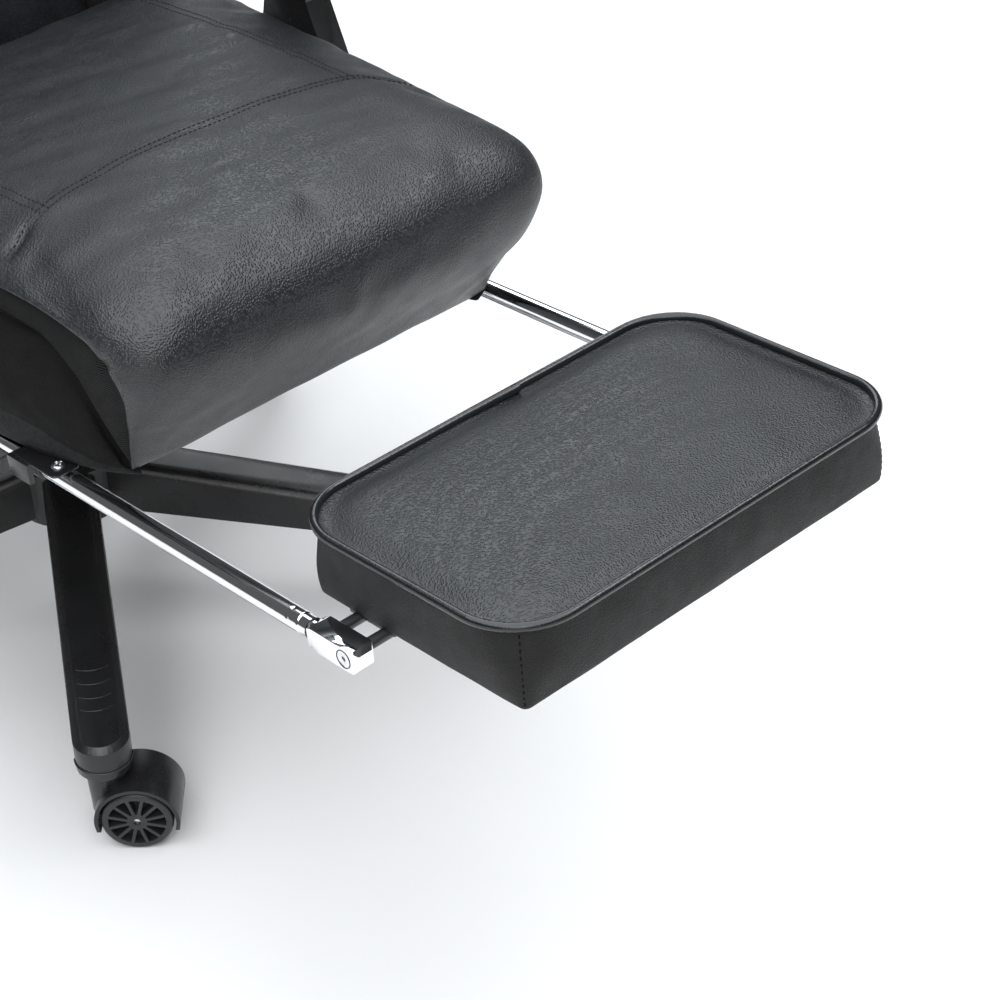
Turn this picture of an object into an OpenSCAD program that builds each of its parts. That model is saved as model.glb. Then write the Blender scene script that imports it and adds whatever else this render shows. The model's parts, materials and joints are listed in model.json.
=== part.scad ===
// Reclining office chair with a slide-out, flip-over footrest.
// Floor at z = 0, swivel axis on Z, the sitter faces -Y and has +X on the left hand.

/* [Seat] */
// Width of the seat cushion across its nose
seat_w = 378; // [350:1:400]
// Width of the seat cushion at its rear
seat_rear_w = 470; // [440:1:480]
// Depth of the seat cushion from nose to rear
seat_d = 499; // [470:1:520]
// Height of the seat cushion above its board
seat_h = 144; // [130:1:160]
// Overhang of the nose past the cushion's bottom edge
nose_over = 67; // [50:1:80]
// Rearward pitch of the seat at rest, in degrees
seat_pitch = 5; // [2:0.5:7]
// Thickness of the seat board
pan_t = 12; // [9:1:15]

/* [Footrest] */
// Width of the footrest pad
pad_w = 338; // [300:1:339]
// Depth of the footrest pad
pad_d = 207; // [180:1:220]
// Thickness of the footrest pad at its edge
pad_t = 58; // [45:1:62]
// Corner radius of the footrest pad in plan
pad_corner_r = 46; // [30:1:60]
// Corner radius of the footrest pad at its underside
pad_low_r = 24; // [12:1:36]
// Crown of the footrest pad above its edge
pad_crown = 9; // [5:1:12]
// Diameter of the footrest rods
rod_d = 14.4; // [12:0.2:15]
// Distance between the two rods' centres
rod_span = 360; // [359:1:372]
// Distance from the rocking pin forward to the pad's flip axis
flip_reach = 572; // [555:1:590]
// Distance that the rods push in
rod_travel = 250; // [200:5:255]

/* [Backrest] */
// Height of the backrest above the recline hinge
back_h = 790; // [700:5:850]
// Width of the backrest at the shoulders
back_w = 520; // [480:2:540]
// Width of the backrest at the top
head_w = 300; // [260:2:360]
// Lean of the backrest from the seat's upright at rest, in degrees
back_lean = 12; // [8:1:16]

/* [Armrests] */
// Height of the armrest pads above the seat board's underside
arm_h = 350; // [320:2:380]
// Length of the armrest pads
arm_pad_l = 260; // [220:2:280]
// Width of the armrest pads
arm_pad_w = 90; // [75:1:100]

/* [Base and lift] */
// Radius from the swivel axis to each caster's stem
base_r = 322; // [300:1:340]
// Turn of the base under the seat at rest, in degrees
base_turn = -31.2; // [-36:0.1:36]
// Width of a base arm at the hub
arm_root_w = 44; // [40:1:60]
// Width of a base arm at the tip
arm_tip_w = 43; // [40:1:48]
// Height of the mechanism's floor above the ground with the lift down
lift_low_h = 268; // [262:1:285]
// Diameter of the lift's outer tube
tube_d = 50; // [48:0.5:52]
// Diameter of the lift's piston
piston_d = 28; // [26:0.5:30]

/* [Casters] */
// Diameter of the caster wheels
wheel_d = 55; // [50:1:56]
// Width of one caster wheel
wheel_w = 19; // [16:0.5:21]
// Trail from the caster's stem back to its axle
caster_trail = 22; // [19:0.5:25]
// Diameter of the caster stems
stem_d = 11; // [10:0.5:12]

/* [Hidden] */
$fn = 64;

// Clearances and overruns used by every piece
soft_gap = 0.4;      // between a soft piece and its neighbour
face_gap = 0.3;      // between rigid faces on different pieces
run_gap = 0.05;      // radial clearance of a running shaft
slide_gap = 0.12;    // radial clearance of a rod in its guide
eps = 1;             // overrun of a cut past a face

// Finishes
leather_c = [0.10, 0.105, 0.11];
fabric_c = [0.05, 0.05, 0.055];
nylon_c = [0.07, 0.07, 0.075];
chrome_c = [0.85, 0.86, 0.88];
zinc_c = [0.62, 0.66, 0.70];
steel_c = [0.12, 0.12, 0.13];
wood_c = [0.55, 0.42, 0.28];

// Seat frame: the rocking pin is its origin, pitched back from the level
rock_y = 40;                       // pin ahead of the swivel axis
rock_up = 47;                      // pin above the mechanism's floor
rock_z = lift_low_h + rock_up;
pan_up = 28;                       // seat board's underside above the pin
cushion_z = pan_up + pan_t + soft_gap;
seat_rear_y = 112;                 // cushion's rear behind the pin
nose_y = seat_rear_y - seat_d;
seat_top_z = pan_up + pan_t + seat_h;
module on_seat() translate([0, -rock_y, rock_z]) rotate([-seat_pitch, 0, 0]) children();

// Footrest in the seat frame
rod_r = rod_d / 2;
rod_x = rod_span / 2;
rod_drop = 1.1;                    // gap between the rods and the seat board
rod_z = pan_up - rod_drop - rod_r;
bar_r = 4;                         // hinge bar radius
pad_back_share = 0.347;            // flip axis from the pad's back edge, share of its depth
flip_y = -flip_reach;
pad_back_y = flip_y + pad_d * pad_back_share;
pad_front_y = pad_back_y - pad_d;
pad_z = rod_z + bar_r + face_gap;  // pad's underside
head_l = 48;                       // rod head's length
head_w_x = 17;                     // rod head's width
head_h = 16;                       // rod head's height
head_front = 11;                   // rod head's front past the flip axis
head_y = flip_y - head_front;
rod_front_y = head_y + head_l;
guide_l = 24;                      // front guide's length
guide_front_y = -250;              // front guide's front face
guide2_l = 16;                     // rear guide's length
rod_in_y = 98;                     // rods' rear ends when they are pushed in
rod_rear_y = rod_in_y - rod_travel;
stop_l = 6;                        // rod stop's length
stop_in = 2;                       // rod stop's distance from the rod's end
stop_y = rod_rear_y - stop_in - stop_l;
guide2_front_y = stop_y - face_gap - guide2_l;

// Backrest in the seat frame
hinge_y = 170;
hinge_z = 95;
plate_x = 244;                     // inner face of the side plates
plate_t = 5;
module on_back() on_seat() translate([0, hinge_y, hinge_z]) rotate([-back_lean, 0, 0]) children();

// Column
hub_bottom = 88;
hub_top = 148;
hub_r = 46;
hub_rim_r = 34;                    // hub's raised rim round the column
tube_r = tube_d / 2;
tube_wall = 4;
piston_r = piston_d / 2;
tube_bottom = 92;
tube_clear = 10;                   // tube's top below the mechanism's floor
tube_top = lift_low_h - tube_clear;
lift_stroke = 80;
cover_t = 2;
cover_gap = 0.4;                   // radial clearance between cover stages
cover_l = 98;
cover_clear = 2.6;                 // upper stage's clearance round the tube
upper_r = tube_r + cover_clear + cover_t;  // upper stage's outer radius
middle_r = upper_r + cover_gap + cover_t;
lower_r = middle_r + cover_gap + cover_t;
rod_pin_r = 5;                     // gas rod's radius
socket_h = 40;                     // tapered socket's height above the mechanism's floor
piston_proud = 2;
piston_top = lift_low_h + socket_h + piston_proud;
button_r = 3;
button_up = 5;                     // button's height above the piston

// Mechanism
box_w = 124;                       // housing's outside width
box_t = 3;
box_front = -138;
box_rear = 92;
knob_y = -84;
knob_r = 24;
knob_h = 22;
pot_r = 21;
pot_drop = 22;
lever_r = 4;

// Casters and base arms
wheel_r = wheel_d / 2;
axle_r = 3;
web_t = 7;                         // web between the wheels
wheel_gap = 0.6;                   // between a wheel and the web
hood_gap = 2;                      // between the wheels and the hood
hood_t = 3;
hood_lip = 0.5;                    // hood's edge outside the wheels
hood_w = web_t + 2 * (wheel_gap + wheel_w + hood_lip);
boss_r = 15.5;
neck_low = 25;                     // foot of the hood's neck, in front of the wheels
neck_foot_share = 0.9;
boss_low = 49;
caster_h = 67;                     // caster's height to the collar
collar_r = 9.5;
collar_t = 2;
socket_r = 17;                     // socket at each arm's tip
tip_low = caster_h + collar_t;
tip_h = 30;
stem_up = 24;                      // stem's length in the socket
channel_wall = 4;
function arm_angle(i) = -90 + base_turn + 72 * (i - 1);
module at_arm(i) rotate([0, 0, arm_angle(i)]) children();
module at_caster(i) at_arm(i) translate([base_r, 0, 0]) children();

// Rings and skins for soft forms

function mix(a, b, f) = a + (b - a) * f;
function arc2(c, r, a0, n) = [for (i = [0:n]) c + r * [cos(a0 + 90 * i / n), sin(a0 + 90 * i / n)]];
function run2(p, q, n) = [for (i = [1:n - 1]) mix(p, q, i / n)];

// A rounded ring, wide wf at yf and wr at yr, with m runs a side and n runs a corner
function ring(wf, wr, yf, yr, rf, rr, m = 5, n = 4) =
  let (a = arc2([wf - rf, yf + rf], rf, -90, n), b = arc2([wr - rr, yr - rr], rr, 0, n),
    c = arc2([-wr + rr, yr - rr], rr, 90, n), d = arc2([-wf + rf, yf + rf], rf, 180, n))
  concat(a, run2(a[n], b[0], m), b, run2(b[n], c[0], m), c, run2(c[n], d[0], m), d,
    run2(d[n], a[0], m));

// Closed surface through rings of equal count, with a fan from the middle of each end ring
function middle(r) = [for (k = [0:2]) min([for (p = r) p[k]]) + max([for (p = r) p[k]])] / 2;
module skin(rings) {
  n = len(rings[0]);
  k = len(rings);
  last = (k - 1) * n;
  polyhedron(points = concat([for (r = rings) each r], [middle(rings[0]), middle(rings[k - 1])]),
    convexity = 6, faces = concat(
    [for (j = [0:k - 2], i = [0:n - 1]) each let (a = j * n + i, b = j * n + (i + 1) % n)
      [[a, a + n, b], [b, a + n, b + n]]],
    [for (i = [0:n - 1]) [k * n, i, (i + 1) % n]],
    [for (i = [0:n - 1]) [k * n + 1, last + (i + 1) % n, last + i]]));
}
function lift2(r, z) = [for (p = r) [p[0], p[1], z]];
// Share of the full thickness along a padded length, rounded over within s of both ends
function end_round(f, s) = sqrt(max(0, 1 - pow(max(0, 1 - f / s, 1 - (1 - f) / s), 2)));

module tube(r, wall, h) difference() {
  cylinder(r = r, h = h);
  translate([0, 0, -eps]) cylinder(r = r - wall, h = h + 2 * eps);
}
module along_y(l, r) rotate([-90, 0, 0]) cylinder(h = l, r = r);

// Star base

module arm_section(r, w, low, top, round_r) translate([r, 0, 0]) {
  for (s = [-1, 1]) translate([0, s * (w / 2 - round_r), top - round_r])
    along_x_disc(round_r);
  translate([-disc_t / 2, -w / 2, low]) cube([disc_t, w, top - low - round_r]);
}
disc_t = 2;                        // slice that carries a rounded shoulder
module along_x_disc(r) rotate([0, 90, 0]) cylinder(r = r, h = disc_t, center = true, $fn = 24);

root_top = 141;
root_low = 94;
mid_share = 0.5;
mid_top = 122;
mid_low = 90;
shoulder_r = 9;
module arm_outer() hull() {
  arm_section(hub_r / 2, arm_root_w, root_low, root_top, shoulder_r);
  arm_section(base_r * mid_share, mix(arm_root_w, arm_tip_w, mid_share), mid_low, mid_top,
    shoulder_r);
  translate([base_r, 0, tip_low]) {
    cylinder(d = arm_tip_w, h = tip_h - shoulder_r / 2, $fn = 32);
    cylinder(d = arm_tip_w - shoulder_r, h = tip_h, $fn = 32);
  }
}

bay_count = 5;
rib_t = 3;
channel_floor = 10;                // thickness of the arm above its channel
module arm_channel() {
  start = hub_r + rib_t;
  end = base_r - socket_r - rib_t;
  bay = (end - start) / bay_count;
  intersection() {
    translate([0, 0, -eps]) linear_extrude(root_top) polygon([
      [0, -arm_root_w / 2 + channel_wall], [base_r, -arm_tip_w / 2 + channel_wall],
      [base_r, arm_tip_w / 2 - channel_wall], [0, arm_root_w / 2 - channel_wall]]);
    rotate([90, 0, 0]) linear_extrude(arm_root_w, center = true) polygon([
      [0, 0], [base_r, 0], [base_r, tip_low + tip_h - channel_floor],
      [base_r * mid_share, mid_top - channel_floor], [0, root_top - channel_floor]]);
    for (i = [0:bay_count - 1]) translate([start + i * bay, -arm_root_w, 0])
      cube([bay - rib_t, 2 * arm_root_w, root_top]);
  }
}

module base_star() color(nylon_c) difference() {
  union() {
    for (i = [1:5]) at_arm(i) difference() {
      arm_outer();
      arm_channel();
    }
    rotate_extrude() polygon([[0, hub_bottom], [hub_r, hub_bottom], [hub_r, root_top - rib_t],
      [hub_r - rib_t, root_top], [hub_rim_r + rib_t, hub_top - rib_t], [hub_rim_r + rib_t, hub_top],
      [0, hub_top]]);
  }
  translate([0, 0, hub_bottom - eps]) cylinder(r = tube_r + run_gap, h = hub_top);
  for (i = [1:5]) at_caster(i) translate([0, 0, tip_low - eps])
    cylinder(d = stem_d, h = stem_up + 2 * eps);
}

module caster_stems() color(zinc_c) for (i = [1:5]) at_caster(i) {
  translate([0, 0, boss_low + eps]) cylinder(d = stem_d, h = tip_low + stem_up - boss_low - eps);
  translate([0, 0, caster_h]) cylinder(r = collar_r, h = collar_t);
}

// Casters
caster_trail_angle = -42;
caster_turns = [0, 0, 102, 0, 0];  // each caster's own turn beyond that
axle_in = 2;                       // axle's ends inside the wheels' faces
axle_l = web_t + 2 * (wheel_gap + wheel_w - axle_in);
module at_trail(i) at_caster(i)
  rotate([0, 0, caster_trail_angle + caster_turns[i - 1] - arm_angle(i)]) children();
module at_axle(i) at_trail(i) translate([caster_trail, 0, wheel_r]) rotate([90, 0, 0]) children();

hood_low = 9;                      // hood's lower edge below the axle
module hood(i) color(nylon_c) {
  in_r = wheel_r + hood_gap;
  out_r = in_r + hood_t;
  difference() {
    union() {
      at_axle(i) difference() {
        cylinder(r = out_r, h = hood_w, center = true);
        translate([-2 * out_r, -2 * out_r - hood_low, -hood_w])
          cube([4 * out_r, 2 * out_r, 2 * hood_w]);
      }
      at_trail(i) translate([0, 0, neck_low]) cylinder(r1 = boss_r * neck_foot_share, r2 = boss_r,
        h = caster_h - neck_low - face_gap);
      at_axle(i) cylinder(r = axle_r * 3, h = web_t, center = true);
    }
    at_trail(i) translate([0, 0, boss_low]) cylinder(r = stem_d / 2 + run_gap, h = caster_h);
    at_axle(i) for (s = [0, 1]) mirror([0, 0, s]) translate([0, 0, web_t / 2])
      cylinder(r = in_r, h = hood_w);
    at_axle(i) cylinder(r = axle_r, h = hood_w, center = true);
  }
}

spoke_count = 12;
spoke_w = 2.6;
rim_share = 0.8;
disc_depth_share = 0.45;
module wheel() {
  edge_r = 2.5;
  hub_w_r = axle_r * 2.6;
  difference() {
    rotate_extrude() difference() {
      square([wheel_r, wheel_w]);
      square([axle_r + run_gap, wheel_w]);
      for (z = [0, wheel_w - edge_r]) translate([wheel_r - edge_r, z])
        difference() {
          translate([0, z > 0 ? 0 : -eps]) square([edge_r + eps, edge_r + eps]);
          translate([0, z > 0 ? 0 : edge_r]) circle(r = edge_r, $fn = 32);
        }
    }
    translate([0, 0, wheel_w * (1 - disc_depth_share)]) for (k = [0:spoke_count - 1])
      rotate([0, 0, 360 / spoke_count * k]) window(hub_w_r, wheel_r * rim_share, wheel_w);
  }
}
module window(r0, r1, h) {
  half = 180 / spoke_count;
  in_a = half - asin(spoke_w / 2 / r0);
  out_a = half - asin(spoke_w / 2 / r1);
  linear_extrude(h) polygon([r0 * [cos(-in_a), sin(-in_a)], r1 * [cos(-out_a), sin(-out_a)],
    r1 * [1, 0], r1 * [cos(out_a), sin(out_a)], r0 * [cos(in_a), sin(in_a)]]);
}
module wheels(i) color(nylon_c) at_axle(i) for (s = [0, 1]) mirror([0, 0, s])
  translate([0, 0, web_t / 2 + wheel_gap]) wheel();
module axle(i) color(zinc_c) at_axle(i) cylinder(r = axle_r, h = axle_l, center = true);

// Lift column

module lift_tube() color(steel_c) {
  bush_h = 60;
  floor_t = 4;
  difference() {
    translate([0, 0, tube_bottom]) cylinder(r = tube_r, h = tube_top - tube_bottom);
    translate([0, 0, tube_bottom + floor_t]) cylinder(r = tube_r - tube_wall,
      h = tube_top - tube_bottom - floor_t - bush_h);
    translate([0, 0, tube_bottom + floor_t]) cylinder(r = piston_r + slide_gap, h = tube_top);
    translate([0, 0, tube_bottom - eps]) cylinder(r = rod_pin_r, h = floor_t + 2 * eps);
  }
}

rod_top = 236;
clip_t = 2;
clip_gap = 0.3;
module lift_rod() color(zinc_c) translate([0, 0, tube_bottom - 2 * clip_t - clip_gap])
  cylinder(r = rod_pin_r, h = rod_top - tube_bottom + 2 * clip_t + clip_gap);
module lift_clip() color(zinc_c) translate([0, 0, tube_bottom - clip_t - clip_gap]) difference() {
  cylinder(r = rod_pin_r * 2, h = clip_t);
  translate([0, 0, -eps]) cylinder(r = rod_pin_r + run_gap, h = clip_t + 2 * eps);
}

module cover_lower() color(nylon_c) translate([0, 0, hub_top]) tube(lower_r, cover_t, cover_l);
middle_rest = 7;                   // middle stage's foot above the hub with the lift down
module cover_middle() color(nylon_c) translate([0, 0, hub_top + middle_rest])
  tube(middle_r, cover_t, cover_l);
module cover_upper() color(nylon_c) {
  cap_t = 2;
  top = lift_low_h - face_gap;
  translate([0, 0, top - cover_l]) tube(upper_r, cover_t, cover_l);
  translate([0, 0, top - cap_t]) difference() {
    cylinder(r = upper_r, h = cap_t);
    translate([0, 0, -eps]) cylinder(r = piston_r, h = cap_t + 2 * eps);
  }
}

piston_low = 110;
module lift_piston() color(steel_c) difference() {
  translate([0, 0, piston_low]) cylinder(r = piston_r, h = piston_top - piston_low);
  translate([0, 0, piston_low - eps]) cylinder(r = rod_pin_r + run_gap,
    h = rod_top - piston_low + lift_stroke / 8);
  translate([0, 0, piston_top - 2 * button_up]) cylinder(r = button_r + run_gap, h = 3 * button_up);
}
module lift_button() color(zinc_c) translate([0, 0, piston_top - button_up])
  cylinder(r = button_r, h = 2 * button_up);

// Mechanism

box_h = 50;
rear_top = 36;                     // housing's rear wall above its floor
module tilt_housing() color(steel_c) translate([0, 0, lift_low_h]) {
  front_top = box_h + box_t;
  side = [[box_front, 0], [box_rear, 0], [box_rear, rear_top], [0, box_h - box_t],
    [-rock_y, front_top], [box_front, front_top]];
  difference() {
    union() {
      difference() {
        rotate([90, 0, 90]) linear_extrude(box_w, center = true) polygon(side);
        translate([-box_w / 2 + box_t, box_front + box_t, box_t])
          cube([box_w - 2 * box_t, box_rear - box_front - 2 * box_t, 2 * box_h]);
      }
      cylinder(r = piston_r + 2 * box_t, h = socket_h);
      translate([0, knob_y, -pot_drop]) cylinder(r = pot_r, h = pot_drop + box_t);
    }
    translate([0, 0, -eps]) cylinder(r = piston_r + run_gap, h = socket_h + 2 * eps);
    translate([0, knob_y, -pot_drop - eps]) cylinder(r = lever_r + run_gap, h = pot_drop);
    translate([0, -rock_y, rock_up]) rotate([0, 90, 0])
      cylinder(r = pin_r + run_gap, h = 2 * box_w, center = true);
    lever_slot();
  }
}
slot_gap = 0.15;                   // lever's play in its slot
lever_z = 51;                      // lever's height above the housing's floor
lever_y = 24;
lever_pivot_x = box_w / 2 - box_t / 2;   // trunnion in the middle of the housing's wall
trunnion_r = 5;
module lever_slot() {
  translate([-box_w, lever_y - lever_r - slot_gap, lever_z - lever_r - slot_gap])
    cube([box_w, 2 * (lever_r + slot_gap), box_h]);
  translate([-lever_pivot_x, lever_y, lever_z]) rotate([90, 0, 0])
    cylinder(r = trunnion_r + slot_gap, h = 2 * (lever_r + slot_gap), center = true);
}

pin_r = 5;
ear_t = 3;
ear_gap = 1;
ear_x = box_w / 2 + ear_gap;
pin_over = 3;
pin_l = 2 * (ear_x + ear_t + pin_over);
module rock_pin() color(zinc_c) translate([0, -rock_y, rock_z]) rotate([0, 90, 0])
  cylinder(r = pin_r, h = pin_l, center = true);

// Knob on its own stud, below the front of the housing
module tension_knob() color(nylon_c) translate([0, knob_y, lift_low_h - pot_drop]) {
  lobe_r = 5;
  lobe_count = 8;
  translate([0, 0, -knob_h - face_gap]) {
    difference() {
      cylinder(r = knob_r, h = knob_h);
      for (k = [0:lobe_count - 1]) rotate([0, 0, 360 / lobe_count * k])
        translate([knob_r + lobe_r * 0.4, 0, -eps]) cylinder(r = lobe_r, h = knob_h + 2 * eps);
    }
    cylinder(r = lever_r, h = knob_h + pot_drop * 0.8);
  }
}

// Lever: inner end over the button, through the slot, out and down past the rods' reach
lever_tip_drop = 24;
bend_out = 14;
tip_x = 246;
tip_y = 96;
lever_bend = [-box_w / 2 - bend_out, lever_y, lift_low_h + lever_z];
lever_tip = [-tip_x, tip_y, lift_low_h + lever_z - lever_tip_drop];
grip_l = 56;
module bar(a, b, r) let (d = b - a) translate(a)
  rotate([0, acos(d[2] / norm(d)), atan2(d[1], d[0])]) cylinder(r = r, h = norm(d));
module height_lever() color(steel_c) {
  knee = [-box_w / 4, lever_y, lift_low_h + lever_z];
  inner_r = lever_z - socket_h - piston_proud - button_up - face_gap;
  out = (lever_tip - lever_bend) / norm(lever_tip - lever_bend);
  bar([button_r, 0, lift_low_h + lever_z], knee + [0, eps, 0], inner_r);
  bar(knee + [lever_r, 0, 0], lever_bend, lever_r);
  bar(lever_bend - out * lever_r, lever_tip, lever_r * 1.1);
  translate([-lever_pivot_x, lever_y, lift_low_h + lever_z]) rotate([90, 0, 0])
    cylinder(r = trunnion_r, h = 2 * lever_r, center = true);
}
module height_lever_grip() color(nylon_c) {
  dir = (lever_tip - lever_bend) / norm(lever_tip - lever_bend);
  a = lever_tip - dir * grip_l * 0.6;
  difference() {
    hull() for (p = [a, a + dir * grip_l]) translate(p) scale([1, 1, 0.6])
      sphere(r = lever_r * 2.6, $fn = 16);
    bar(lever_bend, lever_tip + dir * run_gap, lever_r * 1.1 + run_gap);
  }
}

// Seat

pin_gap = 0.05;
plate_l0 = -118;                   // seat plate's front edge behind the pin
plate_l1 = 142;
plate_w = 200;
bolt_r = 4;
bolt_head_r = 6.5;
bolt_head_t = 5;
bolt_x = 80;
bolt_y = [-90, 95];
seat_plate_t = 3;
plate_z = pan_up - face_gap - seat_plate_t;
module seat_plate() color(steel_c) on_seat() difference() {
  union() {
    translate([-plate_w / 2, plate_l0, plate_z]) cube([plate_w, plate_l1 - plate_l0, seat_plate_t]);
    for (s = [0, 1]) mirror([s, 0, 0]) translate([ear_x, 0, 0]) rotate([90, 0, 90])
      linear_extrude(ear_t) {
        circle(r = 3 * pin_r);
        polygon([[-3 * pin_r, 0], [3 * pin_r, 0], [8 * pin_r, plate_z + eps],
          [-8 * pin_r, plate_z + eps]]);
      }
  }
  rotate([0, 90, 0]) cylinder(r = pin_r + pin_gap, h = 2 * box_w, center = true);
  for (x = [-bolt_x, bolt_x], y = bolt_y) translate([x, y, plate_z - eps])
    cylinder(r = bolt_r + run_gap, h = seat_plate_t + 2 * eps);
}

// Bolt with its head down, from the origin upwards
module bolt(l) {
  translate([0, 0, -bolt_head_t]) cylinder(r = bolt_head_r, h = bolt_head_t);
  cylinder(r = bolt_r, h = l);
}
flange_t = 4;
flange_in_x = 192;                 // flange's inner edge, outboard of the rods
flange_y = [-60, 98];
flange_z = pan_up - face_gap - flange_t;
flange_bolt_x = 203;
flange_bolt_y = [30, 80];
arm_bolt_y = [-34, 26];
arm_bolt_z = [52, 86];
module frame_bolts() color(zinc_c) on_seat() {
  for (x = [-bolt_x, bolt_x], y = bolt_y) translate([x, y, plate_z - run_gap])
    bolt(seat_plate_t + face_gap + pan_t * 0.8);
  for (x = [-flange_bolt_x, flange_bolt_x], y = flange_bolt_y) translate([x, y, flange_z - run_gap])
    bolt(flange_t + face_gap + pan_t * 0.8);
  for (s = [0, 1], y = arm_bolt_y, z = arm_bolt_z) mirror([s, 0, 0])
    translate([post_x + foot_t + run_gap, y, z]) rotate([0, -90, 0])
      bolt(foot_t + face_gap + plate_t);
}

// Cushion outline: shares of its height, of the nose overhang and of its half width, front to top
skirt_up = 2;                      // cushion's lower edge above the board's underside
skirt_z = pan_up + skirt_up;
low_w_share = 0.853;               // width at the bottom edge, share of the width at the nose
level_shares = [[0.04, 0.07, 0], [0.13, 0.26, 0.12], [0.27, 0.51, 0.4], [0.38, 0.71, 0.6],
  [0.5, 0.88, 0.8], [0.64, 1, 0.95], [0.75, 1, 1], [0.84, 0.9, 0.98]];
crown_shares = [[0.92, 0.12], [0.965, 0.3], [0.99, 0.62], [1, 1]];
crown_inset = 95;                  // run of the crown from the edge to its flat top
step_share = 0.6;                  // height at which the rear half widens over the side panels
cushion_low_w = 460;               // rear width between the side panels
skirt_in = 8;                      // cover's thickness round the board
pan_ring_r = 22;
nose_r = 32;
seat_low_y = nose_y + nose_over;
function cushion_ring(h, over, f, inset = 0) = let (
    z = mix(skirt_z, seat_top_z, h),
    wf = seat_w / 2 * mix(low_w_share, 1, f) - inset,
    wr = (h < step_share ? cushion_low_w : seat_rear_w) / 2 - inset,
    r = mix(pan_ring_r, nose_r, f) + inset * 0.2)
  lift2(ring(wf, wr, seat_low_y - nose_over * over + inset, seat_rear_y - inset, r, r, 6, 5), z);
function pan_ring(gap) = ring(seat_w / 2 * low_w_share - skirt_in + gap,
  cushion_low_w / 2 - skirt_in + gap, seat_low_y + skirt_in - gap, seat_rear_y - skirt_in + gap,
  pan_ring_r + gap, pan_ring_r + gap, 6, 5);
module seat_cushion() color(leather_c) on_seat() skin(concat(
  [lift2(pan_ring(soft_gap), cushion_z), lift2(pan_ring(soft_gap), skirt_z)],
  [for (c = level_shares) cushion_ring(c[0], c[1], c[2])],
  [for (c = crown_shares) cushion_ring(c[0], mix(0.9, 0.2, c[1]), 1, crown_inset * c[1])]));

module seat_pan() color(wood_c) on_seat() difference() {
  translate([0, 0, pan_up]) linear_extrude(pan_t) polygon(pan_ring(0));
  for (x = [-bolt_x, bolt_x], y = bolt_y) translate([x, y, pan_up - eps])
    cylinder(r = bolt_r + run_gap, h = pan_t + 2 * eps);
  for (x = [-flange_bolt_x, flange_bolt_x], y = flange_bolt_y) translate([x, y, pan_up - eps])
    cylinder(r = bolt_r + run_gap, h = pan_t + 2 * eps);
  for (x = [-1, 1] * guide_screw_x, y = guide_screw_y) translate([x, y, pan_up - eps])
    cylinder(r = guide_screw_r + run_gap, h = pan_t / 2 + eps);
}

// Side panels under the cushion's overhang: a point at the front corner, full further back
side_t = 12;
side_lift = 7;
side_low_z = pan_up + side_lift;
side_gap = 1.2;                    // panel's stand-off from the cushion
side_tip_h = 6;
side_top_z = skirt_z + (seat_top_z - skirt_z) * 0.56;
side_rise_l = 120;
side_steps = 12;
side_n = 9;
front_w_table = [for (c = level_shares) [c[0], seat_w / 2 * mix(low_w_share, 1, c[2])]];
front_y_table = [for (c = level_shares) [c[0], seat_low_y - nose_over * c[1]]];
corner_table = [for (c = level_shares) [c[0], mix(pan_ring_r, nose_r, c[2])]];
rear_w_table = [for (c = level_shares)
  [c[0], (c[0] < step_share ? cushion_low_w : seat_rear_w) / 2]];
// Half width of the cushion at a depth and a height
function cushion_half(y, z) = let (
    h = (z - skirt_z) / (seat_top_z - skirt_z),
    r = lookup(h, corner_table),
    y0 = lookup(h, front_y_table) + r,
    y1 = seat_rear_y - r)
  mix(lookup(h, front_w_table), lookup(h, rear_w_table), max(0, min(1, (y - y0) / (y1 - y0))));
function side_ring(y) = let (
    f = min(1, (y - seat_low_y) / side_rise_l),
    a = side_t * mix(0.12, 1, sqrt(max(0, f))),
    top = mix(side_low_z + side_tip_h, side_top_z, pow(f, 0.7)))
  concat(
    [for (i = [0:side_n]) let (
      t = -90 + 180 * i / side_n,
      z = (side_low_z + top) / 2 + (top - side_low_z) / 2 * sin(t))
      [cushion_half(y, z) + side_gap + a * pow(cos(t), 0.7), y, z]],
    [for (g = [0.75, 0.5, 0.25]) let (z = mix(side_low_z, top, g))
      [cushion_half(y, z) + side_gap, y, z]]);
module seat_side() skin([for (k = [side_steps:-1:0])
  side_ring(mix(seat_low_y + skirt_in, seat_rear_y - nose_r, pow(k / side_steps, 1.5)))]);
module seat_side_left() color(leather_c) on_seat() seat_side();
module seat_side_right() color(leather_c) on_seat() mirror([1, 0, 0]) seat_side();

hinge_r = 6;
disc_r = 32;
plate_top_z = 115;                 // side plates' top edge
module side_plate() difference() {
  union() {
    translate([plate_x, 0, 0]) rotate([90, 0, 90]) linear_extrude(plate_t) {
      polygon([[flange_y[0], flange_z], [flange_y[1], flange_z],
        [hinge_y + disc_r * 0.8, hinge_z - disc_r * 0.6],
        [hinge_y + disc_r * 0.6, hinge_z + disc_r * 0.8],
        [flange_y[1] - disc_r, plate_top_z], [flange_y[0], plate_top_z]]);
      translate([hinge_y, hinge_z]) circle(r = disc_r);
    }
    translate([flange_in_x, flange_y[0], flange_z])
      cube([plate_x + plate_t - flange_in_x, flange_y[1] - flange_y[0], flange_t]);
  }
  translate([plate_x, hinge_y, hinge_z]) rotate([0, 90, 0])
    cylinder(r = hinge_r + run_gap, h = 4 * plate_t, center = true);
  for (y = flange_bolt_y) translate([flange_bolt_x, y, flange_z - eps])
    cylinder(r = bolt_r + run_gap, h = flange_t + 2 * eps);
  for (y = arm_bolt_y, z = arm_bolt_z) translate([plate_x - eps, y, z]) rotate([0, 90, 0])
    cylinder(r = bolt_r + run_gap, h = plate_t + 2 * eps);
}
module side_plate_left() color(steel_c) on_seat() side_plate();
module side_plate_right() color(steel_c) on_seat() mirror([1, 0, 0]) side_plate();

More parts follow.
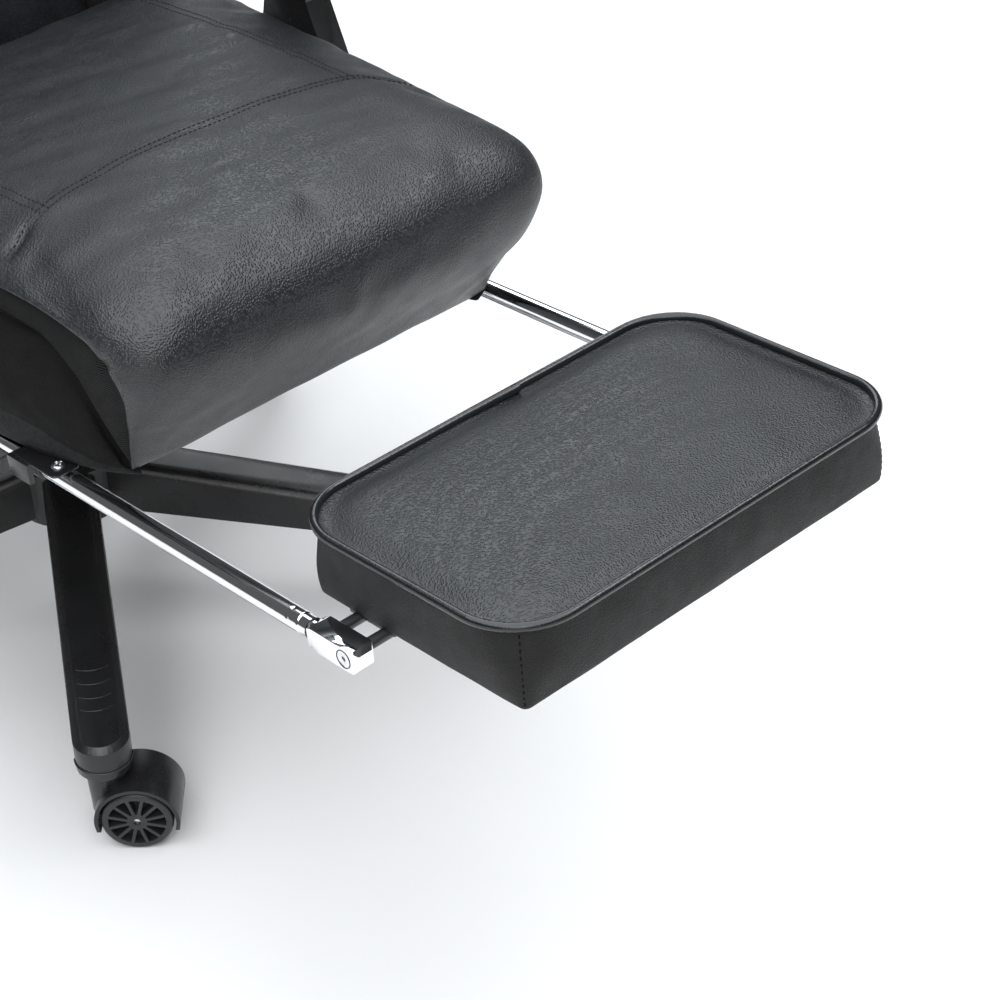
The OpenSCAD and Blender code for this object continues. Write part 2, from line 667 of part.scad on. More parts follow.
// Rod guides and their screws
guide_wall = 2;
guide_out = 16;                    // guide's body outboard of the rod
guide_flange_t = 4;
guide_flange_in = 42;              // guide's flange inboard of the rod
guide_screw_r = 2;
guide_screw_in = 32;
guide_screw_x = rod_x - guide_screw_in;
guide_screw_y = [guide_front_y + guide_l / 2, guide2_front_y + guide2_l / 2];
module guide(y, l) translate([rod_x, y, 0]) difference() {
  union() {
    difference() {
      translate([0, 0, rod_z]) along_y(l, rod_r + slide_gap + guide_wall);
      translate([-2 * rod_r, -eps, pan_up - face_gap]) cube([4 * rod_r, l + 2 * eps, rod_r]);
    }
    translate([0, 0, rod_z]) cube([guide_out, l, pan_up - face_gap - rod_z]);
    translate([guide_out - 2 * guide_wall, 0, rod_z - rod_r]) cube([2 * guide_wall, l, rod_r + eps]);
    translate([-guide_flange_in, 0, pan_up - face_gap - guide_flange_t])
      cube([guide_flange_in + guide_out, l, guide_flange_t]);
  }
  translate([0, -eps, rod_z]) along_y(l + 2 * eps, rod_r + slide_gap);
  translate([guide_screw_x - rod_x, l / 2, 0]) cylinder(r = guide_screw_r + run_gap, h = pan_up);
}
module rod_guides() color(nylon_c) on_seat() for (s = [0, 1]) mirror([s, 0, 0]) {
  guide(guide_front_y, guide_l);
  guide(guide2_front_y, guide2_l);
}
module guide_screws() color(zinc_c) on_seat() for (x = [-1, 1] * guide_screw_x, y = guide_screw_y)
  translate([x, y, pan_up - face_gap - guide_flange_t - guide_screw_r]) {
    cylinder(r = 2 * guide_screw_r, h = guide_screw_r - run_gap);
    cylinder(r = guide_screw_r, h = guide_flange_t + 3 * guide_screw_r);
  }

// Armrests, bolted to the side plates
post_x = plate_x + plate_t + face_gap;
foot_t = 6;
post_w = 24;
arm_x = 268;
arm_plate_t = 5;
arm_pad_h = 26;
arm_front_y = -155;
module arm_post() difference() {
  top = arm_h - arm_pad_h - arm_plate_t;
  foot_y = [-52, 44];
  foot_z = [36, 108];
  union() {
    translate([post_x, foot_y[0], foot_z[0]])
      cube([foot_t, foot_y[1] - foot_y[0], foot_z[1] - foot_z[0]]);
    translate([post_x, 0, 0]) rotate([90, 0, 90]) linear_extrude(post_w) polygon([
      [foot_y[0], foot_z[1] - 2 * foot_t], [foot_y[1], foot_z[1] - 2 * foot_t], [post_w, top / 2],
      [2 * post_w, top + foot_t / 2], [-3 * post_w, top + foot_t / 2], [-post_w * 1.2, top / 2]]);
    translate([arm_x - arm_pad_w * 0.36, arm_front_y + 1.5 * post_w, top])
      cube([arm_pad_w * 0.72, arm_pad_l - 3 * post_w, arm_plate_t]);
  }
  for (y = arm_bolt_y, z = arm_bolt_z) translate([post_x - eps, y, z]) rotate([0, 90, 0])
    cylinder(r = bolt_r + run_gap, h = foot_t + 2 * eps);
}
module arm_post_left() color(nylon_c) on_seat() arm_post();
module arm_post_right() color(nylon_c) on_seat() mirror([1, 0, 0]) arm_post();
arm_level_shares = [[0, 0.16], [0.12, 0.04], [0.4, 0], [0.7, 0.03], [0.88, 0.1], [0.97, 0.24],
  [1, 0.42]];
module arm_pad() translate([arm_x, 0, arm_h - arm_pad_h + soft_gap])
  skin([for (c = arm_level_shares) let (
    i = c[1] * arm_pad_w / 2, w = arm_pad_w / 2 - i, r = w * 0.7,
    y0 = arm_front_y + i, y1 = arm_front_y + arm_pad_l - i)
    lift2(ring(w, w, y0, y1, r, r), c[0] * arm_pad_h)]);
module arm_pad_left() color(leather_c) on_seat() arm_pad();
module arm_pad_right() color(leather_c) on_seat() mirror([1, 0, 0]) arm_pad();

// Footrest

tube_wall_r = 1.2;
spigot_l = 22;
module footrest_rods() color(chrome_c) on_seat() for (x = [-rod_x, rod_x]) translate([x, 0, rod_z])
  difference() {
    translate([0, rod_front_y + face_gap, 0]) along_y(rod_rear_y - rod_front_y - face_gap, rod_r);
    translate([0, rod_front_y - eps, 0])
      along_y(rod_rear_y - rod_front_y + 2 * eps, rod_r - tube_wall_r);
  }
screw_r = 3;
screw_head_r = 6;
module rod_head() difference() {
  ch = head_w_x / 5;
  union() {
    intersection() {
      translate([0, 0, rod_z]) rotate([90, 0, 90]) linear_extrude(2 * head_w_x, center = true)
        polygon([[head_y, -head_h / 2 + ch], [head_y + ch, -head_h / 2],
          [rod_front_y - 2 * ch, -head_h / 2], [rod_front_y, -head_h / 2 + ch],
          [rod_front_y, head_h / 2 - ch], [rod_front_y - 2 * ch, head_h / 2],
          [head_y + ch, head_h / 2], [head_y, head_h / 2 - ch]]);
      translate([0, 0, rod_z - head_h]) linear_extrude(2 * head_h) polygon([
        [-head_w_x / 2 + ch, head_y], [head_w_x / 2 - ch, head_y], [head_w_x / 2, head_y + ch],
        [head_w_x / 2, rod_front_y - ch], [head_w_x / 2 - ch, rod_front_y],
        [-head_w_x / 2 + ch, rod_front_y], [-head_w_x / 2, rod_front_y - ch],
        [-head_w_x / 2, head_y + ch]]);
    }
    translate([0, rod_front_y - eps, rod_z]) along_y(spigot_l + eps, rod_r - tube_wall_r - run_gap);
  }
  translate([0, flip_y, rod_z]) rotate([0, 90, 0]) {
    cylinder(r = screw_r + run_gap, h = 2 * head_w_x, center = true);
    translate([0, 0, head_w_x / 2 - screw_r]) cylinder(r1 = screw_r + run_gap,
      r2 = screw_head_r + run_gap, h = screw_r);
    translate([0, 0, head_w_x / 2]) cylinder(r = screw_head_r + run_gap, h = screw_r);
  }
}
module rod_heads() color(chrome_c) on_seat() for (s = [0, 1]) mirror([s, 0, 0])
  translate([rod_x, 0, 0]) rod_head();
module rod_stops() color(steel_c) on_seat() for (x = [-rod_x, rod_x]) translate([x, 0, rod_z])
  difference() {
    translate([0, stop_y, 0]) along_y(stop_l, rod_r + rod_drop - face_gap);
    translate([0, stop_y - eps, 0]) along_y(stop_l + 2 * eps, rod_r + run_gap);
  }

socket_hex_r = 2;
module pivot_screws() color(zinc_c) on_seat() for (s = [0, 1]) mirror([s, 0, 0])
  translate([rod_x + head_w_x / 2, flip_y, rod_z]) rotate([0, -90, 0]) difference() {
    union() {
      cylinder(r2 = screw_r, r1 = screw_head_r, h = screw_r);
      cylinder(r = screw_r, h = head_w_x + 3 * screw_r);
    }
    translate([0, 0, -eps]) cylinder(r = socket_hex_r, h = screw_r + eps, $fn = 6);
  }
stop_back = 25;                    // stop bar behind the flip axis
bracket_w = 34;
bracket_t = 3;
bar_end_x = rod_x - head_w_x / 2 - face_gap;
bar_start_x = pad_w / 2 - bracket_w * 0.6;
module pad_hinge_bars() color(steel_c) on_seat() for (s = [0, 1]) mirror([s, 0, 0]) difference() {
  union() {
    for (y = [0, stop_back]) translate([bar_start_x, flip_y + y, rod_z]) rotate([0, 90, 0])
      cylinder(r = bar_r, h = bar_end_x - bar_start_x);
    translate([pad_w / 2 - board_in - bracket_w, flip_y - 2 * bar_r, rod_z + bar_r - bracket_t])
      cube([bracket_w, stop_back + 4 * bar_r, bracket_t]);
  }
  translate([rod_x - head_w_x / 2 - 4 * screw_r, flip_y, rod_z]) rotate([0, 90, 0])
    cylinder(r = screw_r, h = 6 * screw_r);
}
board_in = 14;                     // board's edge inside the pad's edge
board_t = 3;
function pad_ring(inset, r, gap = 0) = let (w = pad_w / 2 - inset + gap)
  ring(w, w, pad_front_y + inset - gap, pad_back_y - inset + gap, r, r, 6, 7);
module pad_board() color(wood_c) on_seat() translate([0, 0, pad_z]) linear_extrude(board_t)
  polygon(pad_ring(board_in, board_r));
board_r = 10;                      // board's corner radius
// Shares of the pad's thickness and depth, with the corner's share of the way to its full radius
pad_level_shares = [[0, 0.035, 0], [0.06, 0.02, 0.05], [0.3, 0.012, 0.3], [0.65, 0.002, 0.7],
  [0.93, 0, 1], [1, 0.014, 1]];
pad_crown_shares = [[0.1, 0.03], [0.45, 0.11], [0.75, 0.25], [0.93, 0.48], [1, 0.8]];
module pad_cushion() color(leather_c) on_seat() skin(concat(
  [for (z = [board_t + soft_gap, 0]) lift2(pad_ring(board_in, board_r, soft_gap), pad_z + z)],
  [for (c = pad_level_shares)
    lift2(pad_ring(c[1] * pad_d, mix(pad_low_r, pad_corner_r, c[2])), pad_z + c[0] * pad_t)],
  [for (c = pad_crown_shares) let (i = c[1] * pad_d / 2, r = max(pad_corner_r - i, board_r))
    lift2(pad_ring(i, r), pad_z + pad_t + c[0] * pad_crown)]));

// Backrest, in its own frame: the hinge is its origin, Z runs up the back

recliner_t = 5;                    // recliner arm's thickness
board_half_low = plate_x - 2 * face_gap - recliner_t;
back_board_t = 12;
half_shares = [[0, 0], [0.3, 0], [0.5, 0.8], [0.58, 1], [0.66, 0.85]];
neck_shares = [[0.66, 1], [0.7, 0.8], [0.74, 0.62], [0.81, 0.4], [0.92, 0.35], [0.97, 0.22], [1, 0]];
neck_at_share = 0.66;
crest_share = 0.7;                 // width at the very top, share of the head's width
function back_half(u) = let (f = min(1, u / back_h)) f < neck_at_share
  ? mix(board_half_low, back_w / 2, lookup(f, half_shares))
  : mix(head_w / 2 * crest_share, mix(board_half_low, back_w / 2, 0.85), lookup(f, neck_shares));
board_low = 6;
board_n = 24;
arms_top_share = 0.3;              // height where the recliner arms end
board_inset = 4;                   // board's edge inside the covers above the recliner arms
function board_half(u) = back_half(u) - (u > arms_top_share * back_h ? board_inset : 0);
function board_u(i) = mix(board_low, back_h, i / board_n);
module back_board() color(wood_c) on_back() rotate([90, 0, 0]) translate([0, 0, -back_board_t])
  linear_extrude(back_board_t) polygon(concat(
    [for (i = [0:board_n]) [board_half(board_u(i)), board_u(i)]],
    [for (i = [board_n:-1:0]) [-board_half(board_u(i)), board_u(i)]]));

// Padding in front of the board: thickness along the height, with sewn channels
pad_low = 10;
centre_half = 148;
centre_top_share = 0.7;
centre_taper_share = 0.86;
back_pad_t = 84;
lumbar = 16;
channel_n = 5;
channel_d = 9;
front_r = 24;
rear_r = 6;
low_cut_shares = [[0, 0.54], [0.1, 0.7], [0.19, 1]];
function low_cut(u) = lookup(u / back_h, low_cut_shares);
end_fs = [0, 0.008, 0.022];        // shares of the length for the rounded ends' rings
function end_rings(steps) = concat(end_fs, [for (k = [1:steps - 1]) k / steps],
  [for (k = [2:-1:0]) 1 - end_fs[k]]);
module back_cushion() color(leather_c) on_back() {
  top = back_h * centre_top_share;
  steps = 4 * channel_n;
  skin([for (f = end_rings(steps)) let (
    groove = channel_d * pow(abs(cos(180 * channel_n * f)), 6) * (f > 0.1 && f < 0.9 ? 1 : 0),
    e = mix(0.55, 1, end_round(f, 0.05)),
    u = mix(pad_low, top, f),
    t = (back_pad_t + lumbar * exp(-pow((f - 0.28) / 0.2, 2)) - groove) * e * low_cut(u),
    w = centre_half * mix(1, centre_taper_share, f) * mix(0.96, 1, e))
    lift2(ring(w, w, -t, -soft_gap, front_r / 2, rear_r, 3, 3), u)]);
}
bolster_t = 108;
bolster_flare = 4;
module bolster() {
  top = back_h * centre_top_share;
  skin([for (f = end_rings(9)) let (
    u = mix(pad_low, top, f),
    e = mix(0.4, 1, end_round(f, 0.09)),
    x0 = centre_half * mix(1, centre_taper_share, f) + 2 * soft_gap,
    x1 = back_half(u) + bolster_flare * (u < arms_top_share * back_h ? -1 : 1),
    w = (x1 - x0) / 2 * mix(0.8, 1, e),
    t = bolster_t * mix(1, 0.85, f) * e * low_cut(u))
    [for (p = ring(w, w, -t, -soft_gap, front_r, rear_r, 3, 3)) [p[0] + x0 + w, p[1], u]]]);
}
module back_bolsters() color(leather_c) on_back() {
  bolster();
  mirror([1, 0, 0]) bolster();
}
head_t = 78;
head_gap = 3;
crest_up = 4;
module head_cushion() color(leather_c) on_back() {
  low = back_h * centre_top_share + head_gap;
  skin([for (f = end_rings(10)) let (
    u = mix(low, back_h + crest_up, f),
    e = end_round(f, 0.3),
    w = back_half(u) + bolster_flare * (2 * e - 1.5),
    t = head_t * mix(0.4, 1, e))
    lift2(ring(w, w, -t, -soft_gap, front_r, rear_r, 4, 4), u)]);
}
rear_t = 30;
module rear_cover() color(leather_c) on_back() {
  skin([for (f = end_rings(12)) let (
    u = mix(board_low, back_h + crest_up / 2, f),
    w = back_half(u) - crest_up / 2,
    t = rear_t * mix(0.3, 1, end_round(f, 0.12)))
    lift2(ring(w, w, back_board_t + soft_gap, back_board_t + t, rear_r / 2, front_r * 0.8 * t / rear_t,
      3, 3), u)]);
}

arm_bar_w = 34;
arm_bar_l = 170;
recliner_x = plate_x - face_gap - recliner_t;
module recliner_arm() translate([recliner_x, 0, 0]) rotate([90, 0, 90])
  linear_extrude(recliner_t) difference() {
    union() {
      circle(r = disc_r * 0.94);
      translate([-arm_bar_w / 2, 0]) square([arm_bar_w, arm_bar_l]);
    }
    circle(r = hinge_r + run_gap);
  }
module recliner_arms() color(steel_c) on_back() {
  recliner_arm();
  mirror([1, 0, 0]) recliner_arm();
}
lever_t = 5;
lever_x = plate_x + plate_t + face_gap;
cap_h = 9;
cap_wall = 2;
module recliner_pins() color(zinc_c) on_seat() for (s = [0, 1]) mirror([s, 0, 0])
  translate([recliner_x - face_gap, hinge_y, hinge_z]) rotate([0, 90, 0])
    cylinder(r = hinge_r, h = lever_x + lever_t + cap_h - cap_wall - recliner_x);
module recliner_covers() color(nylon_c) on_seat() for (s = [0, 1]) mirror([s, 0, 0])
  translate([lever_x + lever_t + face_gap, hinge_y, hinge_z]) rotate([0, 90, 0]) difference() {
    cylinder(r1 = disc_r + cap_wall, r2 = disc_r - cap_wall, h = cap_h);
    translate([0, 0, -eps]) cylinder(r = hinge_r + run_gap, h = cap_h - cap_wall + eps);
  }
lever_l = 112;
lever_grip_t = 22;
module recline_lever() color(nylon_c) on_seat() mirror([1, 0, 0]) translate([lever_x, hinge_y, hinge_z])
  difference() {
    union() {
      rotate([90, 0, 90]) linear_extrude(lever_t) {
        circle(r = disc_r * 0.7);
        polygon([[0, -disc_r * 0.5], [-lever_l, -disc_r * 0.1],
          [-lever_l, disc_r * 0.5], [0, disc_r * 0.6]]);
      }
      translate([0, -lever_l, -disc_r * 0.1]) cube([lever_grip_t, lever_l * 0.4, disc_r * 0.6]);
    }
    translate([-eps, 0, 0]) rotate([0, 90, 0]) cylinder(r = hinge_r + run_gap, h = lever_t + 2 * eps);
  }

base_star();
caster_stems();
lift_tube();
lift_rod();
lift_clip();
cover_lower();
hood(1);  // caster_1_hood
hood(2);  // caster_2_hood
hood(3);  // caster_3_hood
hood(4);  // caster_4_hood
hood(5);  // caster_5_hood
wheels(1);  // caster_1_wheels
wheels(2);  // caster_2_wheels
wheels(3);  // caster_3_wheels
wheels(4);  // caster_4_wheels
wheels(5);  // caster_5_wheels
axle(1);  // caster_1_axle
axle(2);  // caster_2_axle
axle(3);  // caster_3_axle
axle(4);  // caster_4_axle
axle(5);  // caster_5_axle
cover_middle();
cover_upper();
lift_piston();
lift_button();
tilt_housing();
rock_pin();
height_lever();
height_lever_grip();
tension_knob();
seat_plate();
frame_bolts();
seat_pan();
seat_cushion();
seat_side_left();
seat_side_right();
side_plate_left();
side_plate_right();
rod_guides();
guide_screws();
arm_post_left();
arm_post_right();
arm_pad_left();
arm_pad_right();
recliner_pins();
footrest_rods();
rod_heads();
rod_stops();
pad_board();
pad_hinge_bars();
pivot_screws();
pad_cushion();
back_board();
back_cushion();
back_bolsters();
head_cushion();
rear_cover();
recliner_arms();
recliner_covers();
recline_lever();
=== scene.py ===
"""Reclining office chair with a slide-out footrest: leather, mouldings and metal over the CAD frame."""

import json
import math

import bmesh
import bpy
import numpy as np
from mathutils import Matrix, Vector
from mathutils.bvhtree import BVHTree

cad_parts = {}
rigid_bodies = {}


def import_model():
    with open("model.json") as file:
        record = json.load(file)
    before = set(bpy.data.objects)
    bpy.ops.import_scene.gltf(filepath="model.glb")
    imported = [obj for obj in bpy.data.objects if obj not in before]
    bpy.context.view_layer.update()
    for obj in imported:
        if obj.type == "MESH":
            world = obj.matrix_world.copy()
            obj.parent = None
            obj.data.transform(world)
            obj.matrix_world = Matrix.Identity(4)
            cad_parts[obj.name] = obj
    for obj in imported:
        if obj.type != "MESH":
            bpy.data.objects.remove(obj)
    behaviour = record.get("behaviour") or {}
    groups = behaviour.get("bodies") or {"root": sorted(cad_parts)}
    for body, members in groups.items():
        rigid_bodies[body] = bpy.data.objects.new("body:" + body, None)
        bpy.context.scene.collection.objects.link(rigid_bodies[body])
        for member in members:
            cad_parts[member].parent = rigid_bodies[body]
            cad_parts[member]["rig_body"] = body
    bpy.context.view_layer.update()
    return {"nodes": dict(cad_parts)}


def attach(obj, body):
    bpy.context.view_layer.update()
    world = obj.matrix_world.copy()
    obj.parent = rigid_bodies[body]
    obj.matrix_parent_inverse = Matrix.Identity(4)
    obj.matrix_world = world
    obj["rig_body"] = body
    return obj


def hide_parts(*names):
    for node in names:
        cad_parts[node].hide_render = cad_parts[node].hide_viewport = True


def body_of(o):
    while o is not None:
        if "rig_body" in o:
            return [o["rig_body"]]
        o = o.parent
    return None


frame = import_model()

MM = 0.001
SEAT = (Matrix.Translation((0, -0.040, 0.315)) @ Matrix.Rotation(math.radians(-5), 4, "X")
        @ Matrix.Scale(MM, 4))
BACK = SEAT @ Matrix.Translation((0, 170, 95)) @ Matrix.Rotation(math.radians(-12), 4, "X")
SIDES = (-1, 1)
MILLIMETRES = Matrix.Scale(MM, 4)
VIEW_ANGLES = (-42.428, 36.615, -1.573)    # azimuth, elevation and roll, in degrees
VIEW_PLACE = (-0.8436, -1.4652, 1.2965)
LENS_MM, SENSOR_MM = 86.148, 36


# Camera, floor and lights

def aim_camera():
    azimuth, elevation, roll = (math.radians(a) for a in VIEW_ANGLES)
    back = Vector((math.sin(azimuth) * math.cos(elevation),
                   -math.cos(azimuth) * math.cos(elevation), math.sin(elevation)))
    level = (-back).cross(Vector((0, 0, 1))).normalized()
    upright = level.cross(-back)
    right = level * math.cos(roll) + upright * math.sin(roll)
    up = upright * math.cos(roll) - level * math.sin(roll)
    lens = bpy.data.cameras.new("camera")
    lens.lens, lens.sensor_width, lens.clip_start, lens.clip_end = LENS_MM, SENSOR_MM, 0.05, 60
    camera = bpy.data.objects.new("camera", lens)
    bpy.context.scene.collection.objects.link(camera)
    camera.matrix_world = (Matrix.Translation(VIEW_PLACE)
                           @ Matrix((right, up, back)).transposed().to_4x4())
    bpy.context.scene.camera = camera


def soft_light(name, place, target, size, power, tint=(1, 1, 1)):
    lamp = bpy.data.lights.new(name, "AREA")
    lamp.shape, lamp.size, lamp.energy, lamp.color = "DISK", size, power, tint
    light = bpy.data.objects.new(name, lamp)
    light.location = place
    light.rotation_euler = (Vector(target) - Vector(place)).to_track_quat("-Z", "Y").to_euler()
    bpy.context.scene.collection.objects.link(light)


def studio():
    mesh = bpy.data.meshes.new("floor")
    mesh.from_pydata([(-9, -9, 0), (9, -9, 0), (9, 9, 0), (-9, 9, 0)], [], [(0, 1, 2, 3)])
    mesh.materials.append(floor_paint())
    new_piece("floor", mesh)
    world = bpy.data.worlds.new("studio")
    bpy.context.scene.world = world
    world.use_nodes = True
    air = world.node_tree.nodes["Background"]
    air.inputs["Color"].default_value = (1, 1, 1, 1)
    air.inputs["Strength"].default_value = 0.1
    bpy.context.scene.view_settings.view_transform = "Standard"
    soft_light("overhead", (-0.8, -1.0, 3.2), (-0.8, -1.0, 0), 6.0, 290, (0.95, 0.98, 1.0))
    soft_light("key", (1.9, -1.0, 3.1), (-0.1, -0.4, 0.4), 1.2, 18)
    soft_light("far_side", (1.6, 2.2, 2.4), (0, -0.3, 0.4), 2.4, 46, (0.92, 0.97, 1.0))
    soft_light("window_front", (-2.3, -2.7, 2.2), (-0.2, -0.4, 0), 2.6, 36, (1.0, 0.985, 0.97))


# Shader building

def add(tree, kind, inputs=(), **settings):
    made = tree.nodes.new(kind)
    for name, value in settings.items():
        setattr(made, name, value)
    for name, value in dict(inputs).items():
        if isinstance(value, bpy.types.NodeSocket):
            tree.links.new(value, made.inputs[name])
        else:
            made.inputs[name].default_value = value
    return made


def blank(name, colour, metallic=0.0, shine=0.5):
    mat = bpy.data.materials.new(name)
    mat.use_nodes = True
    tree = mat.node_tree
    shader = tree.nodes["Principled BSDF"]
    shader.inputs["Base Color"].default_value = (*colour, 1)
    shader.inputs["Metallic"].default_value = metallic
    shader.inputs["Specular IOR Level"].default_value = shine
    mat.diffuse_color = (*colour, 1)
    return mat, tree, shader, add(tree, "ShaderNodeTexCoord").outputs["Object"]


def noise(tree, where, scale, detail, distortion=0.0):
    made = add(tree, "ShaderNodeTexNoise", {"Vector": where, "Scale": scale, "Detail": detail,
                                            "Distortion": distortion})
    return made.outputs["Fac"]


def coloured(tree, shader, share, dark, light, low=0.0, high=1.0):
    """Base colour that goes from dark to light as share goes from low to high."""
    ramp = add(tree, "ShaderNodeValToRGB", {"Fac": share})
    keys = ramp.color_ramp.elements
    for key, at, colour in ((keys[0], low, dark), (keys[1], high, light)):
        key.position, key.color = at, (*colour, 1)
    tree.links.new(ramp.outputs["Color"], shader.inputs["Base Color"])


def tones(tree, shader, where, dark, light, spread, scale, detail=4):
    """Colour that drifts between two tones; a small spread makes the change sharper."""
    drift = noise(tree, where, scale, detail)
    coloured(tree, shader, drift, dark, light, 0.5 - spread, 0.5 + spread)


def gloss(tree, shader, where, low, high, scale):
    """Roughness that varies in patches."""
    span = add(tree, "ShaderNodeMapRange", {"Value": noise(tree, where, scale, 6), "From Min": 0.3,
                                            "From Max": 0.7, "To Min": low, "To Max": high})
    tree.links.new(span.outputs["Result"], shader.inputs["Roughness"])


def relief(tree, height, depth, strength=1.0, under=None):
    inputs = {"Height": height, "Distance": depth, "Strength": strength}
    if under is not None:
        inputs["Normal"] = under
    return add(tree, "ShaderNodeBump", inputs).outputs["Normal"]


def leather(name, dark, light, pebble=640, depth=0.0003, rough=(0.38, 0.47), shine=0.5):
    mat, tree, shader, where = blank(name, dark, shine=shine)
    tones(tree, shader, where, dark, light, 0.2, 14)
    gloss(tree, shader, where, *rough, 60)
    cells = add(tree, "ShaderNodeTexVoronoi", {"Vector": where, "Scale": pebble, "Smoothness": 0.25,
                                               "Randomness": 0.8}, feature="SMOOTH_F1")
    domes = add(tree, "ShaderNodeMapRange", {"Value": cells.outputs["Distance"], "From Max": 0.6,
                                             "To Min": 1.0, "To Max": 0.0})
    slack = relief(tree, noise(tree, where, 38, 2), 0.0012, 0.3)
    tree.links.new(relief(tree, domes.outputs["Result"], depth, 1.0, slack),
                   shader.inputs["Normal"])
    return mat


def ribbed_band(name, dark, light):
    """Ribs run across the band, with painted shade in their valleys; the piece's weave attribute holds
    millimetres along and across it.
    """
    mat, tree, shader, where = blank(name, dark, shine=0.12)
    weave = add(tree, "ShaderNodeAttribute", attribute_name="weave").outputs["Vector"]
    along = add(tree, "ShaderNodeSeparateXYZ", {"Vector": weave}).outputs["X"]
    turn = add(tree, "ShaderNodeMath", {0: along, 1: 2 * math.pi / RIB_PITCH}, operation="MULTIPLY")
    wave = add(tree, "ShaderNodeMath", {0: turn.outputs[0]}, operation="SINE")
    ribs = add(tree, "ShaderNodeMapRange", {"Value": wave.outputs[0], "From Min": -0.9,
                                            "From Max": 0.7}).outputs["Result"]
    # Painted shade: the colour goes very dark in the rib valleys and lighter on the crests
    coloured(tree, shader, ribs, [c * 0.2 for c in dark], light)
    soft = relief(tree, noise(tree, where, 900, 3), 0.0002, 0.5)
    tree.links.new(relief(tree, ribs, 0.001, 1.0, soft), shader.inputs["Normal"])
    gloss(tree, shader, where, 0.7, 0.85, 90)
    return mat


def pressed_fibre(name, dark, light):
    mat, tree, shader, where = blank(name, dark, shine=0.2)
    tones(tree, shader, where, dark, light, 0.15, 420, 6)
    dots = add(tree, "ShaderNodeTexVoronoi", {"Vector": where, "Scale": 520})
    pressed = relief(tree, dots.outputs["Distance"], 0.0003, 0.6)
    fibres = noise(tree, where, 700, 8, 1.5)
    tree.links.new(relief(tree, fibres, 0.0004, 0.7, pressed), shader.inputs["Normal"])
    gloss(tree, shader, where, 0.72, 0.9, 200)
    return mat


def moulded(name, dark, light, rough, texture=1300):
    mat, tree, shader, where = blank(name, dark)
    tones(tree, shader, where, dark, light, 0.2, 22)
    gloss(tree, shader, where, *rough, 35)
    sunk = relief(tree, noise(tree, where, 18, 2), 0.0012, 0.25)
    sparks = noise(tree, where, texture, 2)
    tree.links.new(relief(tree, sparks, 0.00012, 0.8, sunk), shader.inputs["Normal"])
    return mat


def metal(name, dark, light, rough, depth):
    """Bare or plated metal, with fine marks drawn along its length."""
    mat, tree, shader, where = blank(name, light, 1.0)
    tones(tree, shader, where, dark, light, 0.25, 40)
    gloss(tree, shader, where, *rough, 120)
    drawn = add(tree, "ShaderNodeMapping", {"Vector": where, "Scale": (60, 60, 900)})
    marks = noise(tree, drawn.outputs["Vector"], 4, 3)
    tree.links.new(relief(tree, marks, depth, 0.5), shader.inputs["Normal"])
    return mat


def powder_coat(name, dark, light):
    """Paint with its orange peel and small changes of gloss."""
    mat, tree, shader, where = blank(name, dark)
    tones(tree, shader, where, dark, light, 0.3, 30)
    gloss(tree, shader, where, 0.32, 0.46, 50)
    peel = noise(tree, where, 480, 1)
    tree.links.new(relief(tree, peel, 0.0002, 0.5), shader.inputs["Normal"])
    return mat


def plywood(name, dark, light):
    mat, tree, shader, where = blank(name, dark)
    stretched = add(tree, "ShaderNodeMapping", {"Vector": where, "Scale": (40, 4, 220)})
    grain = noise(tree, stretched.outputs["Vector"], 2, 7, 1.2)
    coloured(tree, shader, grain, dark, light)
    tree.links.new(relief(tree, grain, 0.0004, 0.4), shader.inputs["Normal"])
    gloss(tree, shader, where, 0.55, 0.7, 30)
    return mat


def twisted_thread(name, dark, light):
    mat, tree, shader, where = blank(name, dark, shine=0.1)
    tones(tree, shader, where, dark, light, 0.1, 1500, 2)
    strands = add(tree, "ShaderNodeTexWave", {"Vector": where, "Scale": 900, "Distortion": 2})
    tree.links.new(relief(tree, strands.outputs["Fac"], 0.0002, 0.7), shader.inputs["Normal"])
    gloss(tree, shader, where, 0.6, 0.75, 300)
    return mat


def floor_paint():
    mat, tree, shader, where = blank("studio_floor", (0.78, 0.78, 0.785))
    tones(tree, shader, where, (0.77, 0.77, 0.775), (0.79, 0.79, 0.795), 0.2, 2)
    shader.inputs["Roughness"].default_value = 0.75
    return mat


RIB_PITCH = 2.3
TOP_LEATHER = leather("grained_leather", (0.0055, 0.007, 0.0088), (0.0082, 0.0101, 0.0124),
                      depth=0.00045, shine=0.6)
SIDE_LEATHER = leather("fine_side_leather", (0.0085, 0.0083, 0.0085), (0.0125, 0.0122, 0.0124),
                       pebble=700, rough=(0.54, 0.64), shine=0.22)
MATTE_LEATHER = leather("matte_side_leather", (0.006, 0.006, 0.006), (0.0085, 0.0083, 0.0083),
                        rough=(0.7, 0.8), shine=0.08)
PIPING = leather("piping_leather", (0.007, 0.0078, 0.009), (0.010, 0.011, 0.0125), pebble=900,
                 depth=0.00006, rough=(0.17, 0.25))
RIBBED = ribbed_band("ribbed_knit", (0.005, 0.005, 0.0052), (0.022, 0.022, 0.0224))
LINING = pressed_fibre("pressed_fibre_lining", (0.007, 0.007, 0.008), (0.016, 0.016, 0.017))
NYLON = moulded("moulded_nylon", (0.009, 0.009, 0.0095), (0.014, 0.014, 0.015), rough=(0.24, 0.34))
WHEEL = moulded("wheel_nylon", (0.014, 0.014, 0.015), (0.022, 0.022, 0.023), rough=(0.28, 0.42),
                texture=900)
CHROME = metal("chrome_plate", (0.84, 0.85, 0.87), (0.92, 0.93, 0.95), (0.04, 0.09), depth=0.000004)
ZINC = metal("zinc_plate", (0.62, 0.64, 0.67), (0.80, 0.81, 0.83), (0.2, 0.34), depth=0.00006)
BLACK_STEEL = powder_coat("black_powder_coat", (0.014, 0.014, 0.015), (0.022, 0.022, 0.023))
